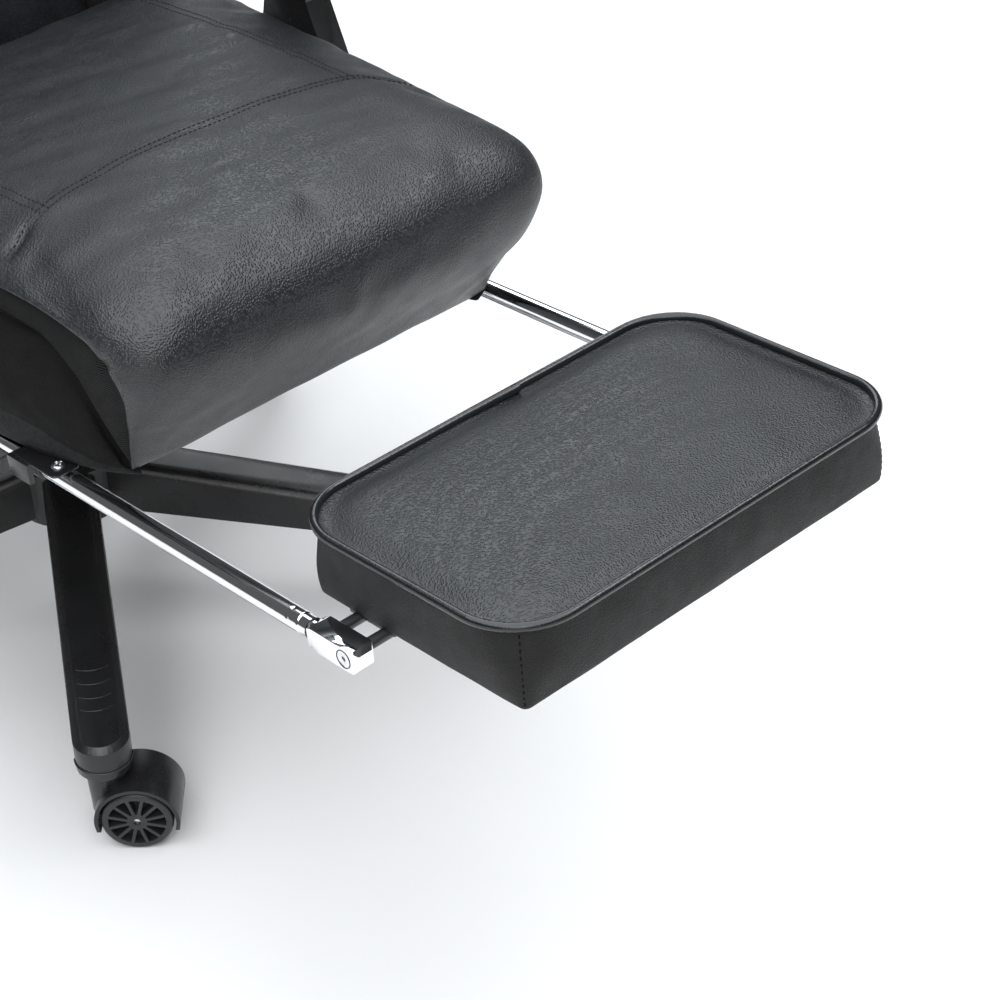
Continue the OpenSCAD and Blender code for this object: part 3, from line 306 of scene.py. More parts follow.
BOARD = plywood("beech_plywood", (0.36, 0.25, 0.15), (0.55, 0.41, 0.27))
THREAD = twisted_thread("sewing_thread", (0.014, 0.014, 0.015), (0.03, 0.03, 0.032))
DARK_THREAD = twisted_thread("dark_seam_thread", (0.003, 0.003, 0.003), (0.008, 0.008, 0.008))


# Mesh building

def new_piece(name, mesh):
    piece = bpy.data.objects.new(name, mesh)
    bpy.context.scene.collection.objects.link(piece)
    return piece


def fit(piece, body, material=None, stands_for=(), sharp=None):
    """Finish and body for a made piece; the CAD parts it stands for are hidden."""
    if material is not None:
        piece.data.materials.clear()
        piece.data.materials.append(material)
    piece.data.shade_smooth()
    if sharp is not None:
        piece.data.set_sharp_from_angle(angle=math.radians(sharp))
    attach(piece, body)
    if stands_for:
        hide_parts(*stands_for)
    return piece


def cushion(piece, body, finish, stands_for=()):
    """A padded piece, fitted with its finish on its body in place of the CAD parts it stands for."""
    fit(piece, body, finish, stands_for)


def baked(piece):
    """The piece with its modifiers taken into its mesh."""
    seen = piece.evaluated_get(bpy.context.evaluated_depsgraph_get())
    mesh = bpy.data.meshes.new_from_object(seen)
    mesh.name = piece.name
    old = piece.data
    if piece.type == "MESH":
        piece.modifiers.clear()
        piece.data = mesh
        bpy.data.meshes.remove(old)
        return piece
    name = piece.name
    bpy.data.objects.remove(piece)
    return new_piece(name, mesh)


def points_of(mesh):
    flat = np.empty(len(mesh.vertices) * 3)
    mesh.vertices.foreach_get("co", flat)
    return flat.reshape(-1, 3)


def set_points(mesh, points):
    mesh.vertices.foreach_set("co", np.asarray(points, float).ravel())
    mesh.update()


def held_points(mesh):
    """How firmly the seams hold each point, from 0 to 1."""
    held = np.empty(len(mesh.vertices))
    mesh.attributes["held"].data.foreach_get("value", held)
    return held


def surface_of(piece, place):
    """The piece's points, the same points in the place's millimetres, and the normals."""
    turn = np.array(place.inverted())
    points = points_of(piece.data)
    normals = np.empty(len(points) * 3)
    piece.data.vertices.foreach_get("normal", normals)
    return points, points @ turn[:3, :3].T + turn[:3, 3], normals.reshape(-1, 3)


def spline(knots, values, at):
    """Smooth curve through the values, at places measured along the knots."""
    knots, at = np.asarray(knots, float), np.asarray(at, float)
    values = np.asarray(values, float).reshape(len(knots), -1)
    slope = np.diff(values, axis=0) / np.diff(knots)[:, None]
    tangent = np.vstack([slope[:1], (slope[1:] + slope[:-1]) / 2, slope[-1:]])
    i = np.clip(np.searchsorted(knots, at, "right") - 1, 0, len(knots) - 2)
    h = (knots[i + 1] - knots[i])[:, None]
    t = (at[:, None] - knots[i][:, None]) / h
    return ((2 * t**3 - 3 * t**2 + 1) * values[i] + (t**3 - 2 * t**2 + t) * h * tangent[i]
            + (3 * t**2 - 2 * t**3) * values[i + 1] + (t**3 - t**2) * h * tangent[i + 1])


def chord(points):
    """Distance along a run of points."""
    return np.concatenate([[0], np.cumsum(np.linalg.norm(np.diff(points, axis=0), axis=1))])


def even(points, step):
    """Points at even steps along a smooth curve through the given ones."""
    points = np.asarray(points, float)
    along = chord(points)
    count = max(3, int(round(along[-1] / step)) + 1)
    return spline(along, points, np.linspace(0, along[-1], count))


class Sewing:
    """Patches of cloth gathered into one mesh, with the points that the seams hold."""

    def __init__(self, name):
        self.name, self.points, self.held, self.weave = name, [], [], []
        self.faces, self.kinds = [], []

    def patch(self, grid, kind, held=0, around=False):
        """A grid of rows by columns of points; held is 1 for those that the seams fix."""
        grid = np.asarray(grid, float)
        rows, cols = grid.shape[:2]
        start = sum(len(p) for p in self.points)
        along = np.linalg.norm(np.diff(grid, axis=0, prepend=grid[:1]), axis=2).cumsum(0)
        over = np.linalg.norm(np.diff(grid, axis=1, prepend=grid[:, :1]), axis=2).cumsum(1)
        self.points.append(grid.reshape(-1, 3))
        self.weave.append(np.stack([along, over, 0 * over], 2).reshape(-1, 3))
        self.held.append(np.broadcast_to(held, (rows, cols)).astype(float).ravel())
        for r in range(rows - 1):
            for c in range(cols if around else cols - 1):
                a, b = start + r * cols + c, start + r * cols + (c + 1) % cols
                self.faces.append((a, b, b + cols, a + cols))
                self.kinds.append(kind)

    def fan(self, ring, kind, held=0.0):
        """Closes a ring towards its middle."""
        ring = np.asarray(ring, float)
        start = sum(len(p) for p in self.points)
        self.points.append(np.vstack([ring, ring.mean(0)]))
        self.weave.append(np.zeros((len(ring) + 1, 3)))
        self.held.append(np.full(len(ring) + 1, held))
        for i in range(len(ring)):
            self.faces.append((start + i, start + (i + 1) % len(ring), start + len(ring)))
            self.kinds.append(kind)

    def piece(self, place):
        mesh = bpy.data.meshes.new(self.name)
        mesh.from_pydata(np.vstack(self.points).tolist(), [], self.faces)
        mesh.polygons.foreach_set("material_index", self.kinds)
        mesh.attributes.new("held", "FLOAT", "POINT").data.foreach_set(
            "value", np.concatenate(self.held))
        mesh.attributes.new("weave", "FLOAT_VECTOR", "POINT").data.foreach_set(
            "vector", np.vstack(self.weave).ravel())
        work = bmesh.new()
        work.from_mesh(mesh)
        bmesh.ops.remove_doubles(work, verts=work.verts, dist=0.05)
        bmesh.ops.dissolve_degenerate(work, edges=work.edges, dist=0.02)
        bmesh.ops.recalc_face_normals(work, faces=work.faces)
        work.to_mesh(mesh)
        work.free()
        mesh.transform(place)
        return new_piece(self.name, mesh)


def inflate(piece, cap, pressure, frames):
    """Cloth under air pressure with its seams held; no point moves further than cap."""
    mesh = piece.data
    start = points_of(mesh)
    seams = piece.vertex_groups.new(name="seams")
    seams.add([int(i) for i in np.nonzero(held_points(mesh) > 0.5)[0]], 1.0, "REPLACE")
    cloth = piece.modifiers.new("cloth", "CLOTH")
    cloth.point_cache.frame_start, cloth.point_cache.frame_end = 1, frames
    ways = cloth.settings
    ways.quality, ways.mass, ways.use_pressure = 5, 0.3, True
    ways.uniform_pressure_force, ways.vertex_group_mass = pressure, "seams"
    ways.tension_stiffness = ways.compression_stiffness = ways.shear_stiffness = 12.0
    ways.bending_stiffness = 1.5
    ways.effector_weights.gravity = 0
    for at in range(1, frames + 1):
        bpy.context.scene.frame_set(at)
    end = points_of(piece.evaluated_get(bpy.context.evaluated_depsgraph_get()).data)
    piece.modifiers.remove(cloth)
    piece.vertex_groups.remove(seams)
    bpy.context.scene.frame_set(1)
    move = end - start
    size = np.linalg.norm(move, axis=1, keepdims=True)
    set_points(mesh, start + move * np.minimum(1, cap / np.maximum(size, 1e-9)))


def doubled(piece):
    """One smooth subdivision, taken into the mesh."""
    layer = piece.modifiers.new("smooth", "SUBSURF")
    layer.levels = layer.render_levels = 1
    return baked(piece)


def wrinkle(piece, place, height, wave, seed):
    """Slow, uneven swells in a padded surface, in millimetres."""
    points, local, normals = surface_of(piece, place)
    source = np.random.default_rng(seed)
    total = np.zeros(len(points))
    for _ in range(9):
        way = source.normal(size=3)
        way /= np.linalg.norm(way)
        total += np.sin(local @ way * 2 * math.pi / (wave * source.uniform(0.6, 1.7))
                        + source.uniform(0, 6))
    shift = height * MM * total / 4.5 * (1 - np.clip(held_points(piece.data), 0, 1))
    set_points(piece.data, points + normals * shift[:, None])


def plumped(piece, place, cap, pressure, frames, height, wave, seed):
    """A padded piece blown up between its seams, smoothed and given slow swells."""
    inflate(piece, cap, pressure, frames)
    piece = doubled(piece)
    wrinkle(piece, place, height, wave, seed)
    return piece


def split_kinds(piece, names):
    """One piece for each kind of cloth in a sewn mesh."""
    parts = []
    for kind, name in enumerate(names):
        work = bmesh.new()
        work.from_mesh(piece.data)
        bmesh.ops.delete(work, geom=[f for f in work.faces if f.material_index != kind],
                         context="FACES")
        mesh = bpy.data.meshes.new(name)
        work.to_mesh(mesh)
        work.free()
        for face in mesh.polygons:
            face.material_index = 0
        parts.append(new_piece(name, mesh))
    bpy.data.objects.remove(piece)
    return parts


def sink_along(piece, place, paths, depth, width):
    """Presses sewn lines into a padded surface; the paths are in the place's millimetres."""
    points, local, normals = surface_of(piece, place)
    drop = np.zeros(len(points))
    for path in paths:
        near = np.full(len(points), np.inf)
        for p in even(path, 2.0):
            near = np.minimum(near, np.linalg.norm(local - p, axis=1))
        drop = np.maximum(drop, depth * np.exp(-(near / width) ** 2))
    set_points(piece.data, points - normals * (drop * MM)[:, None])


def on_surface(piece, place, path, lift=0.0):
    """The path's nearest points on the piece, in the place's millimetres, lifted off it."""
    back = place.inverted()
    local = piece.data.copy()
    local.transform(back)
    tree = BVHTree.FromPolygons([v.co.copy() for v in local.vertices],
                                [tuple(f.vertices) for f in local.polygons])
    laid = []
    for p in path:
        hit, normal, _, _ = tree.find_nearest(Vector(p))
        laid.append(hit + normal * lift)
    bpy.data.meshes.remove(local)
    return np.array([tuple(p) for p in laid])


# Geometry Nodes for what follows a path: piping and stitches

def tree_inputs(name, sizes):
    tree = bpy.data.node_groups.new(name, "GeometryNodeTree")
    tree.interface.new_socket("Geometry", in_out="INPUT", socket_type="NodeSocketGeometry")
    tree.interface.new_socket("Geometry", in_out="OUTPUT", socket_type="NodeSocketGeometry")
    for label, value in sizes.items():
        kind = "NodeSocketInt" if isinstance(value, int) else "NodeSocketFloat"
        tree.interface.new_socket(label, in_out="INPUT", socket_type=kind).default_value = value
    tree.interface.new_socket("Material", in_out="INPUT", socket_type="NodeSocketMaterial")
    return tree, add(tree, "NodeGroupInput"), add(tree, "NodeGroupOutput")


def end_tree(tree, given, out, made):
    """What ends every tree: Realize Instances, then Set Material."""
    whole = add(tree, "GeometryNodeRealizeInstances", {"Geometry": made})
    finished = add(tree, "GeometryNodeSetMaterial", {"Geometry": whole.outputs["Geometry"],
                                                     "Material": given.outputs["Material"]})
    tree.links.new(finished.outputs["Geometry"], out.inputs["Geometry"])
    return tree


def piping_tree():
    tree, given, out = tree_inputs("piping_along_a_seam", {"Radius": 0.0032, "Sides": 10})
    circle = add(tree, "GeometryNodeCurvePrimitiveCircle", {"Resolution": given.outputs["Sides"],
                                                            "Radius": given.outputs["Radius"]})
    tube = add(tree, "GeometryNodeCurveToMesh", {"Curve": given.outputs["Geometry"],
                                                 "Profile Curve": circle.outputs["Curve"],
                                                 "Fill Caps": True})
    return end_tree(tree, given, out, tube.outputs["Mesh"])


def stitch_tree():
    tree, given, out = tree_inputs("stitches_along_a_seam",
                                   {"Spacing": 0.0042, "Length": 0.0031, "Radius": 0.00045})
    spots = add(tree, "GeometryNodeResampleCurve", {"Curve": given.outputs["Geometry"],
                                                    "Length": given.outputs["Spacing"]},
                mode="LENGTH")
    bead = add(tree, "GeometryNodeMeshUVSphere", {"Segments": 6, "Rings": 4, "Radius": 0.5})
    size = add(tree, "ShaderNodeCombineXYZ", {"X": given.outputs["Length"]})
    thick = add(tree, "ShaderNodeMath", {0: given.outputs["Radius"], 1: 2.0}, operation="MULTIPLY")
    tree.links.new(thick.outputs[0], size.inputs["Y"])
    tree.links.new(thick.outputs[0], size.inputs["Z"])
    loop = add(tree, "GeometryNodeTransform", {"Geometry": bead.outputs["Mesh"],
                                               "Scale": size.outputs["Vector"]})
    along = add(tree, "GeometryNodeInputTangent")
    turn = add(tree, "FunctionNodeAlignRotationToVector", {"Vector": along.outputs["Tangent"]},
               axis="X")
    rows = add(tree, "GeometryNodeInstanceOnPoints", {"Points": spots.outputs["Curve"],
                                                      "Instance": loop.outputs["Geometry"],
                                                      "Rotation": turn.outputs["Rotation"]})
    return end_tree(tree, given, out, rows.outputs["Instances"])


PIPING_TREE, STITCH_TREE = piping_tree(), stitch_tree()


def trim(name, paths, place, tree, finish, body, slot="leather", closed=False, **sizes):
    """A curve through each path, run through a tree, as one plain mesh on its body."""
    wire = bpy.data.curves.new(name, "CURVE")
    wire.dimensions = "3D"
    for path in paths:
        line = wire.splines.new("POLY")
        line.points.add(len(path) - 1)
        for point, p in zip(line.points, path):
            point.co = (*(place @ Vector(p)), 1)
        line.use_cyclic_u = closed
    holder = new_piece(name, wire)
    layer = holder.modifiers.new("made", "NODES")
    layer.node_group = tree
    values = {**sizes, "Material": finish}
    for socket in tree.interface.items_tree:
        if socket.in_out == "INPUT" and socket.name in values:
            layer[socket.identifier] = values[socket.name]
    fit(baked(holder), body)


# Seat cushion, in the seat frame's millimetres. Each station has the cover's middle (y, z), the
# run of its rounded edge, the edge seam (x, y, z), the crease under the ribbed band and the low
# seam of the side panel.

SEAT_STATIONS = [
    # middle        run  edge seam             crease               low seam
    ((-306, 29.3), 4, (146, -306, 29.3), None, None),
    ((-317, 31), 5, (157, -320, 33), (157, -320, 33), (157, -320, 33)),
    ((-333, 50), 10, (163, -330, 54), (162, -320.5, 48), (161, -321.5, 38)),
    ((-351, 72), 16, (169, -343, 77), (168, -320, 65), (165, -316, 38.4)),
    ((-366, 89), 22, (174, -352, 92), (172.5, -319.5, 80), (168, -311, 39)),
    ((-378, 107), 28, (178, -360, 109), (177, -317, 96), (171, -306, 40.5)),
    ((-387, 128), 34, (182, -361, 125), (180, -311, 112), (174, -300, 42.5)),
    ((-388, 145), 40, (183.5, -354, 136), (182.5, -305, 122), (177, -292, 45)),
    ((-380, 160), 48, (184, -343, 146), (184, -298, 129), (180, -283, 48.5)),
    ((-361, 172), 60, (184, -326, 150.5), (185, -289, 135), (183, -273, 52)),
    ((-327, 179), 76, (184.5, -303, 154.5), (186.5, -277, 138.5), (186, -263, 57)),
    ((-290, 182), 88, (185.5, -280, 157.5), (187.5, -258, 140), (189, -250, 60.5)),
    ((-225, 185), 96, (189, -218, 160), (190.5, -208, 141), (193, -205, 62)),
    ((-120, 186), 96, (200, -118, 160), (200.5, -116, 141), (203, -116, 62)),
    ((-20, 183), 96, (211, -20, 160), (211, -20, 141), (213, -20, 62)),
    ((60, 178), 90, (222, 55, 159), (221.5, 55, 140), (223, 55, 62)),
    ((94, 168), 60, (228, 90, 152), (227.5, 88, 135), (228, 86, 62)),
    ((108, 150), 30, (230, 103, 138), (230, 101, 130), (229, 98, 62)),
    ((112, 128), 16, (231, 106, 126), (231, 106, 126), (230, 106, 62)),
    ((112, 100), 14, (231, 106, 100), None, None),
    ((112, 62), 12, (230, 106, 62), None, None),
    ((112, 38), 8, (226, 106, 38), None, None),
    ((104, 29.3), 5, (218, 100, 29.3), None, None),
]
BAND_FIRST, BAND_LAST = 1, 18    # the stations where the ribbed bands begin and end
COVER_LOW, STATION_STEP = 29.3, 5.5
EDGE_SQUARE = 0.92    # 1 rounds the top's edge as an ellipse, and less makes it squarer
HEM, BAND_BULGE, PANEL_SWELL = 2.6, 3.4, 13
STITCH_ROWS = (-3.4, 3.4)    # a row of stitches on each side of a seam


def pinned(shape, rows=1):
    """Held along both sides, and over the first and last rows."""
    held = np.zeros(shape)
    held[:, 0] = held[:, -1] = held[:rows] = held[-rows:] = 1
    return held


def between(a, b, share):
    """Rows of points from one seam to the other, at each share of the way."""
    return a[:, None] * (1 - share)[None, :, None] + b[:, None] * share[None, :, None]


def seat_cover():
    middle, run, edge = (np.array([s[i] for s in SEAT_STATIONS], float) for i in range(3))
    knots = (chord(middle) + chord(edge)) / 2
    spans = [np.linspace(a, b, max(2, int(round((b - a) / STATION_STEP)) + 1))[:-1]
             for a, b in zip(knots[:-1], knots[1:])]
    at = np.concatenate([*spans, knots[-1:]])
    mid, rim = spline(knots, middle, at), spline(knots, edge, at)
    reach = spline(knots, run, at)[:, 0]

    sewing = Sewing("seat_cover")
    share = np.linspace(0, 1, 31)
    half = np.zeros((len(at), len(share), 3))
    for k in range(len(at)):    # flat in the middle, then a rounded edge from the share bend on
        flat = rim[k, 0] - reach[k]
        bend = flat / (flat + 1.25 * reach[k])
        phi = np.clip((share - bend) / (1 - bend), 0, 1) * math.pi / 2
        half[k, :, 0] = np.where(share < bend, share / bend * flat,
                                 flat + reach[k] * np.sin(phi) ** EDGE_SQUARE)
        fall = 1 - np.cos(phi) ** EDGE_SQUARE
        half[k, :, 1:] = mid[k] + (rim[k, 1:] - mid[k]) * fall[:, None]
    full = np.concatenate([half[:, :0:-1] * (-1, 1, 1), half], axis=1)
    sewing.patch(full, 0, pinned(full.shape[:2], 2))

    first, last = (sum(len(s) for s in spans[:n]) for n in (BAND_FIRST, BAND_LAST))
    band, stations = slice(first, last + 1), slice(BAND_FIRST, BAND_LAST + 1)
    crease, low = (spline(knots[stations], [s[i] for s in SEAT_STATIONS[stations]], at[band])
                   for i in (3, 4))
    top = rim[band]
    ends = np.clip(np.minimum(np.arange(len(top)), np.arange(len(top))[::-1]) / 6, 0, 1)
    inner = top + (crease - top) * 0.01 - np.outer(ends, (HEM, 0, 0))
    under = low + (-8, 0, 0)
    under[:, 2] = COVER_LOW
    under[0], under[-1] = edge[0], edge[-1]
    lane, wide, lap = (np.linspace(0, 1, count) for count in (9, 15, 6))
    rib = between(inner, crease, lane)
    rib[:, :, 0] += ends[:, None] * BAND_BULGE * np.sin(lane * math.pi) ** 0.7
    panel = between(crease, low, wide)
    swell = PANEL_SWELL * np.sqrt(np.clip(chord(low) / 110, 0, 1))
    swell *= np.clip((chord(low)[-1] - chord(low)) / 60, 0, 1) ** 0.5
    panel[:, :, 0] += swell[:, None] * np.sin(wide * math.pi)[None, :] ** 0.6
    wrap = between(low, under, lap)
    wrap[:, :, 0] += 3.0 * np.sin(lap * math.pi) * ends[:, None]
    strips = ((np.stack([top, inner], 1), 0, 1), (rib, 1, pinned(rib.shape[:2])),
              (panel, 2, pinned(panel.shape[:2])), (wrap, 3, 1))
    for side in SIDES:
        for grid, kind, held in strips:
            sewing.patch(grid * (side, 1, 1), kind, held)

    cover = sewing.piece(SEAT)
    inflate(cover, 0.004, 2.0, 14)
    cover = doubled(cover)
    seams = seat_top_seams()
    sink_along(cover, SEAT, seams, 3.2, 4.5)
    sink_along(cover, SEAT, [crease[3:] * (side, 1, 1) for side in SIDES], 3.5, 3.6)
    puckers = [[(side * 170, -353, 143), (side * 184, -355, 137)] for side in SIDES]
    sink_along(cover, SEAT, puckers, 3.4, 4.0)
    wrinkle(cover, SEAT, 0.7, 46, 3)
    laid = [on_surface(cover, SEAT, even(s, 3), 0.35) for s in seams]
    tops, bands, panels, wraps = split_kinds(cover, ["seat_leather", "seat_ribbed_bands",
                                                     "seat_side_panels", "seat_lining_wrap"])
    cushion(tops, "seat", TOP_LEATHER, ["seat_cushion"])
    cushion(bands, "seat", RIBBED)
    cushion(panels, "seat", MATTE_LEATHER, ["seat_side_left", "seat_side_right"])
    fit(wraps, "seat", LINING)
    rows = [row + (0, off, 0) for row in laid[:1] for off in STITCH_ROWS]
    rows += [row + (off, 0, 0) for row in laid[1:] for off in STITCH_ROWS]
    rows = [on_surface(tops, SEAT, row, 0.25) for row in rows]
    trim("seat_top_stitches", rows, SEAT, STITCH_TREE, THREAD, "seat")


def seat_top_seams():
    """The bowed seam across the seat and the two that run back from it."""
    across = [(x, -210 - 21 * (abs(x) / 142) ** 2, 178) for x in np.linspace(-176, 176, 40)]
    lengthways = [[(side * (131 + 10 * t), -229 + 318 * t, 178) for t in np.linspace(0, 1, 30)]
                  for side in SIDES]
    return [across, *lengthways]


# Rings, as the CAD source draws them

def ring(wf, wr, yf, yr, rf, rr, m=5, n=4):
    """Half width, end and corner radius at the front and rear; m steps a side, n a corner."""
    def arc(cx, cy, r, start):
        turn = np.radians(start + 90 * np.arange(n + 1) / n)
        return np.stack([cx + r * np.cos(turn), cy + r * np.sin(turn)], 1)

    def run(a, b):
        return a + (b - a) * (np.arange(1, m) / m)[:, None]
    a, b = arc(wf - rf, yf + rf, rf, -90), arc(wr - rr, yr - rr, rr, 0)
    c, d = arc(-wr + rr, yr - rr, rr, 90), arc(-wf + rf, yf + rf, rf, 180)
    return np.vstack([a, run(a[-1], b[0]), b, run(b[-1], c[0]), c, run(c[-1], d[0]), d,
                      run(d[-1], a[0])])


def raised(flat, z):
    """A flat ring's points at one height."""
    return np.column_stack([flat, np.full(len(flat), z)])


def mix(a, b, f):
    return a + (b - a) * f


def lookup(f, table):
    return float(np.interp(f, [t[0] for t in table], [t[1] for t in table]))


def end_round(f, s):
    """1 through the middle of a length, rounding down to 0 over a share s at both ends."""
    return math.sqrt(max(0, 1 - max(0, 1 - f / s, 1 - (1 - f) / s) ** 2))


# Footrest pad, in the seat frame, hung from the pivot on the rods' heads

PIVOT_Y = -572
PAD_W, PAD_D, PAD_CORNER, PAD_LOW_CORNER = 338, 207, 46, 4
PAD_BACK = PIVOT_Y + PAD_D * 0.347
PAD_FRONT = PAD_BACK - PAD_D
PAD_MIDDLE = (PAD_BACK + PAD_FRONT) / 2
PAD_Z, PAD_SIDE_H = 24.0, 56

# Each level of the side is its height, its inset and how round its corners are
PAD_LEVELS = [(1.0, 18, 0), (-0.8, 12.5, 0), (-1.0, 8.6, 0.01), (2.0, 7.2, 0.03), (9, 6.0, 0.1),
              (18, 4.8, 0.24), (27, 3.1, 0.38), (36, 1.9, 0.46), (44, 1.0, 0.52), (51, 1.0, 0.6),
              (PAD_SIDE_H, 2.8, 1.0)]

# Each ring of the top is its inset, its height and how firmly its seam is held
PAD_CROWN = [(2.8, 56, 1), (5.0, 54.6, 1), (8.2, 57.0, 0.1), (13, 58.4, 0.2), (20, 61.6, 0.2),
             (30, 64.2, 0), (42, 65.9, 0), (56, 66.8, 0), (72, 67.2, 0), (88, 67.3, 0), (99, 67.3, 0)]


def pad_ring(inset, r, z, m=24, n=9):
    w = PAD_W / 2 - inset
    return raised(ring(w, w, PAD_FRONT + inset, PAD_BACK - inset, r, r, m, n), z)


def corner_share(points):
    """1 at the pad's corners, 0 along its sides."""
    dx = PAD_W / 2 - np.abs(points[:, 0])
    dy = np.minimum(points[:, 1] - PAD_FRONT, PAD_BACK - points[:, 1])
    return np.exp(-((dx + dy) / 70) ** 2)


def relaxed(piece, times):
    """Evens out the points that no seam is near."""
    held = held_points(piece.data)
    work = bmesh.new()
    work.from_mesh(piece.data)
    loose = [v for v in work.verts if held[v.index] < 0.1]
    for _ in range(times):
        bmesh.ops.smooth_vert(work, verts=loose, factor=0.5, use_axis_x=True, use_axis_y=True,
                              use_axis_z=True)
    work.to_mesh(piece.data)
    work.free()


def footrest_pad():
    sewing = Sewing("pad_cover")
    rows = []
    for z, inset, f in PAD_LEVELS:
        row = pad_ring(inset, mix(PAD_LOW_CORNER, PAD_CORNER, f), PAD_Z + z)
        out = row[:, :2] - (0, PAD_MIDDLE)
        wave = np.sin(np.arctan2(out[:, 1], out[:, 0]) * 23) * np.sin(z / PAD_SIDE_H * math.pi)
        out /= np.linalg.norm(out, axis=1, keepdims=True)
        row[:, :2] += out * (0.35 * wave * corner_share(row))[:, None]
        rows.append(row)
    board = pad_ring(20, 8, PAD_Z + 1.0)
    sewing.patch([pad_ring(21, 8, PAD_Z + 2.8), board, rows[0]], 2, 1, around=True)
    held = np.zeros((len(rows), len(board)))
    held[[0, 1, -1]] = 1
    sewing.patch(rows, 1, held, around=True)
    tops = [pad_ring(i, max(PAD_CORNER - i * 0.5, 4), PAD_Z + z) for i, z, _ in PAD_CROWN]
    held = np.repeat([[c[2]] for c in PAD_CROWN], len(board), 1)
    sewing.patch(tops, 0, held, around=True)
    sewing.fan(tops[-1], 0)
    pad = sewing.piece(SEAT)
    relaxed(pad, 40)
    pad = plumped(pad, SEAT, 0.003, 2.5, 16, 0.4, 44, 8)
    top, band, lining = split_kinds(pad, ["pad_top_leather", "pad_side_band", "pad_lining"])
    cushion(top, "pad", TOP_LEATHER, ["pad_cushion"])
    cushion(band, "pad", SIDE_LEATHER)
    fit(lining, "pad", LINING)

    seam = pad_ring(2.0, PAD_CORNER - 2, PAD_Z + 57.0, 30, 14)
    seam = np.roll(seam, -int(np.argmin(np.hypot(seam[:, 0], seam[:, 1] - PAD_BACK))), 0)
    lap = np.vstack([seam[-3:], seam, seam[:4]])
    lap[:9] += np.linspace(1, 0, 9)[:, None] ** 2 * (0, -2.6, 1.2)
    trim("pad_piping", [even(lap, 4)], SEAT, PIPING_TREE, PIPING, "pad", Radius=0.0030)

    rows = []
    steps = list(zip(np.linspace(11, 14, 20), np.linspace(4, 54, 20)))
    for x in SIDES:
        for y, inward in ((PAD_FRONT, 1), (PAD_BACK, -1)):
            corner = [(x * (PAD_W / 2 - i), y + inward * i, PAD_Z + z) for i, z in steps]
            rows.append(on_surface(band, SEAT, corner, -0.45))
    sink_along(band, SEAT, rows, 0.5, 1.6)
    trim("pad_corner_stitches", rows, SEAT, STITCH_TREE, DARK_THREAD, "pad", Radius=0.0006)


# Backrest, in its own frame: z runs up the back and -y is its front

BACK_H, BACK_W, HEAD_W = 790, 520, 300
BOARD_HALF_LOW = 238.4
HALF_SHARES = [(0, 0), (0.3, 0), (0.5, 0.8), (0.58, 1), (0.66, 0.85)]
NECK_SHARES = [(0.66, 1), (0.7, 0.8), (0.74, 0.62), (0.81, 0.4), (0.92, 0.35), (0.97, 0.22), (1, 0)]
LOW_CUT = [(0, 0.54), (0.1, 0.7), (0.19, 1)]
BACK_TOP = BACK_H * 0.7
CHANNELS = 5
SEAM_Y = 13

# The edge strip's section: how far out from the back's edge, and how far back
STRIP_SECTION = [(-11, -1.4), (-3, -2.4), (0, -2.4), (1.8, -1.2), (2.2, 1), (2.4, 4), (2.4, 8),
                 (1.8, 11), (0.4, 12.6), (-3, 13)]


def back_half(u):
    """Half the back's width at a height up it."""
    f = min(1, u / BACK_H)
    if f < 0.66:
        return mix(BOARD_HALF_LOW, BACK_W / 2, lookup(f, HALF_SHARES))
    return mix(HEAD_W / 2 * 0.7, mix(BOARD_HALF_LOW, BACK_W / 2, 0.85), lookup(f, NECK_SHARES))


def ring_skin(name, rows, place, pins=()):
    """A closed skin through rings, whose first and last are closed towards their middles."""
    sewing = Sewing(name)
    rows = np.array(rows)
    held = np.zeros(rows.shape[:2])
    held[list(pins)] = 1
    sewing.patch(rows, 0, held, around=True)
    sewing.fan(rows[0], 0, 1)
    sewing.fan(rows[-1], 0, 1)
    return sewing.piece(place)


def ends_and(steps):
    """Shares of a length in even steps, closer together at both ends."""
    ends = (0, 0.004, 0.01, 0.02, 0.035, 0.05)
    return sorted(set([*ends, *[k / steps for k in range(4, steps - 3)], *[1 - e for e in ends]]))


def centre_half(f):
    """Half the centre cushion's width at a share of its height."""
    return 148 * mix(1, 0.86, f)


def back_centre_cushion():
    rows, pins = [], []
    for i, f in enumerate(ends_and(80)):
        groove = 10 * abs(math.cos(math.pi * CHANNELS * f)) ** 9 * (0.1 < f < 0.9)
        e = mix(0.55, 1, end_round(f, 0.05))
        u = mix(10, BACK_TOP, f)
        t = (84 + 16 * math.exp(-((f - 0.28) / 0.2) ** 2) - groove) * e * lookup(u / BACK_H, LOW_CUT)
        w = centre_half(f) * mix(0.96, 1, e)
        rows.append(raised(ring(w, w, -t, -0.4, 13, 6, 14, 5), u))
        if groove > 9:
            pins.append(i)
    centre = ring_skin("back_centre_cushion", rows, BACK, pins)
    centre = plumped(centre, BACK, 0.007, 3.0, 16, 0.8, 60, 5)
    lines = []
    for k in range(1, CHANNELS):
        f = k / CHANNELS
        w = centre_half(f) - 10
        line = [(x, -90, mix(10, BACK_TOP, f)) for x in np.linspace(-w, w, 60)]
        lines.append(on_surface(centre, BACK, line, 0.3))
    cushion(centre, "back", TOP_LEATHER, ["back_cushion"])
    rows = [on_surface(centre, BACK, line + (0, -3, off), 0.2) for line in lines
            for off in STITCH_ROWS]
    trim("back_channel_stitches", rows, BACK, STITCH_TREE, THREAD, "back")


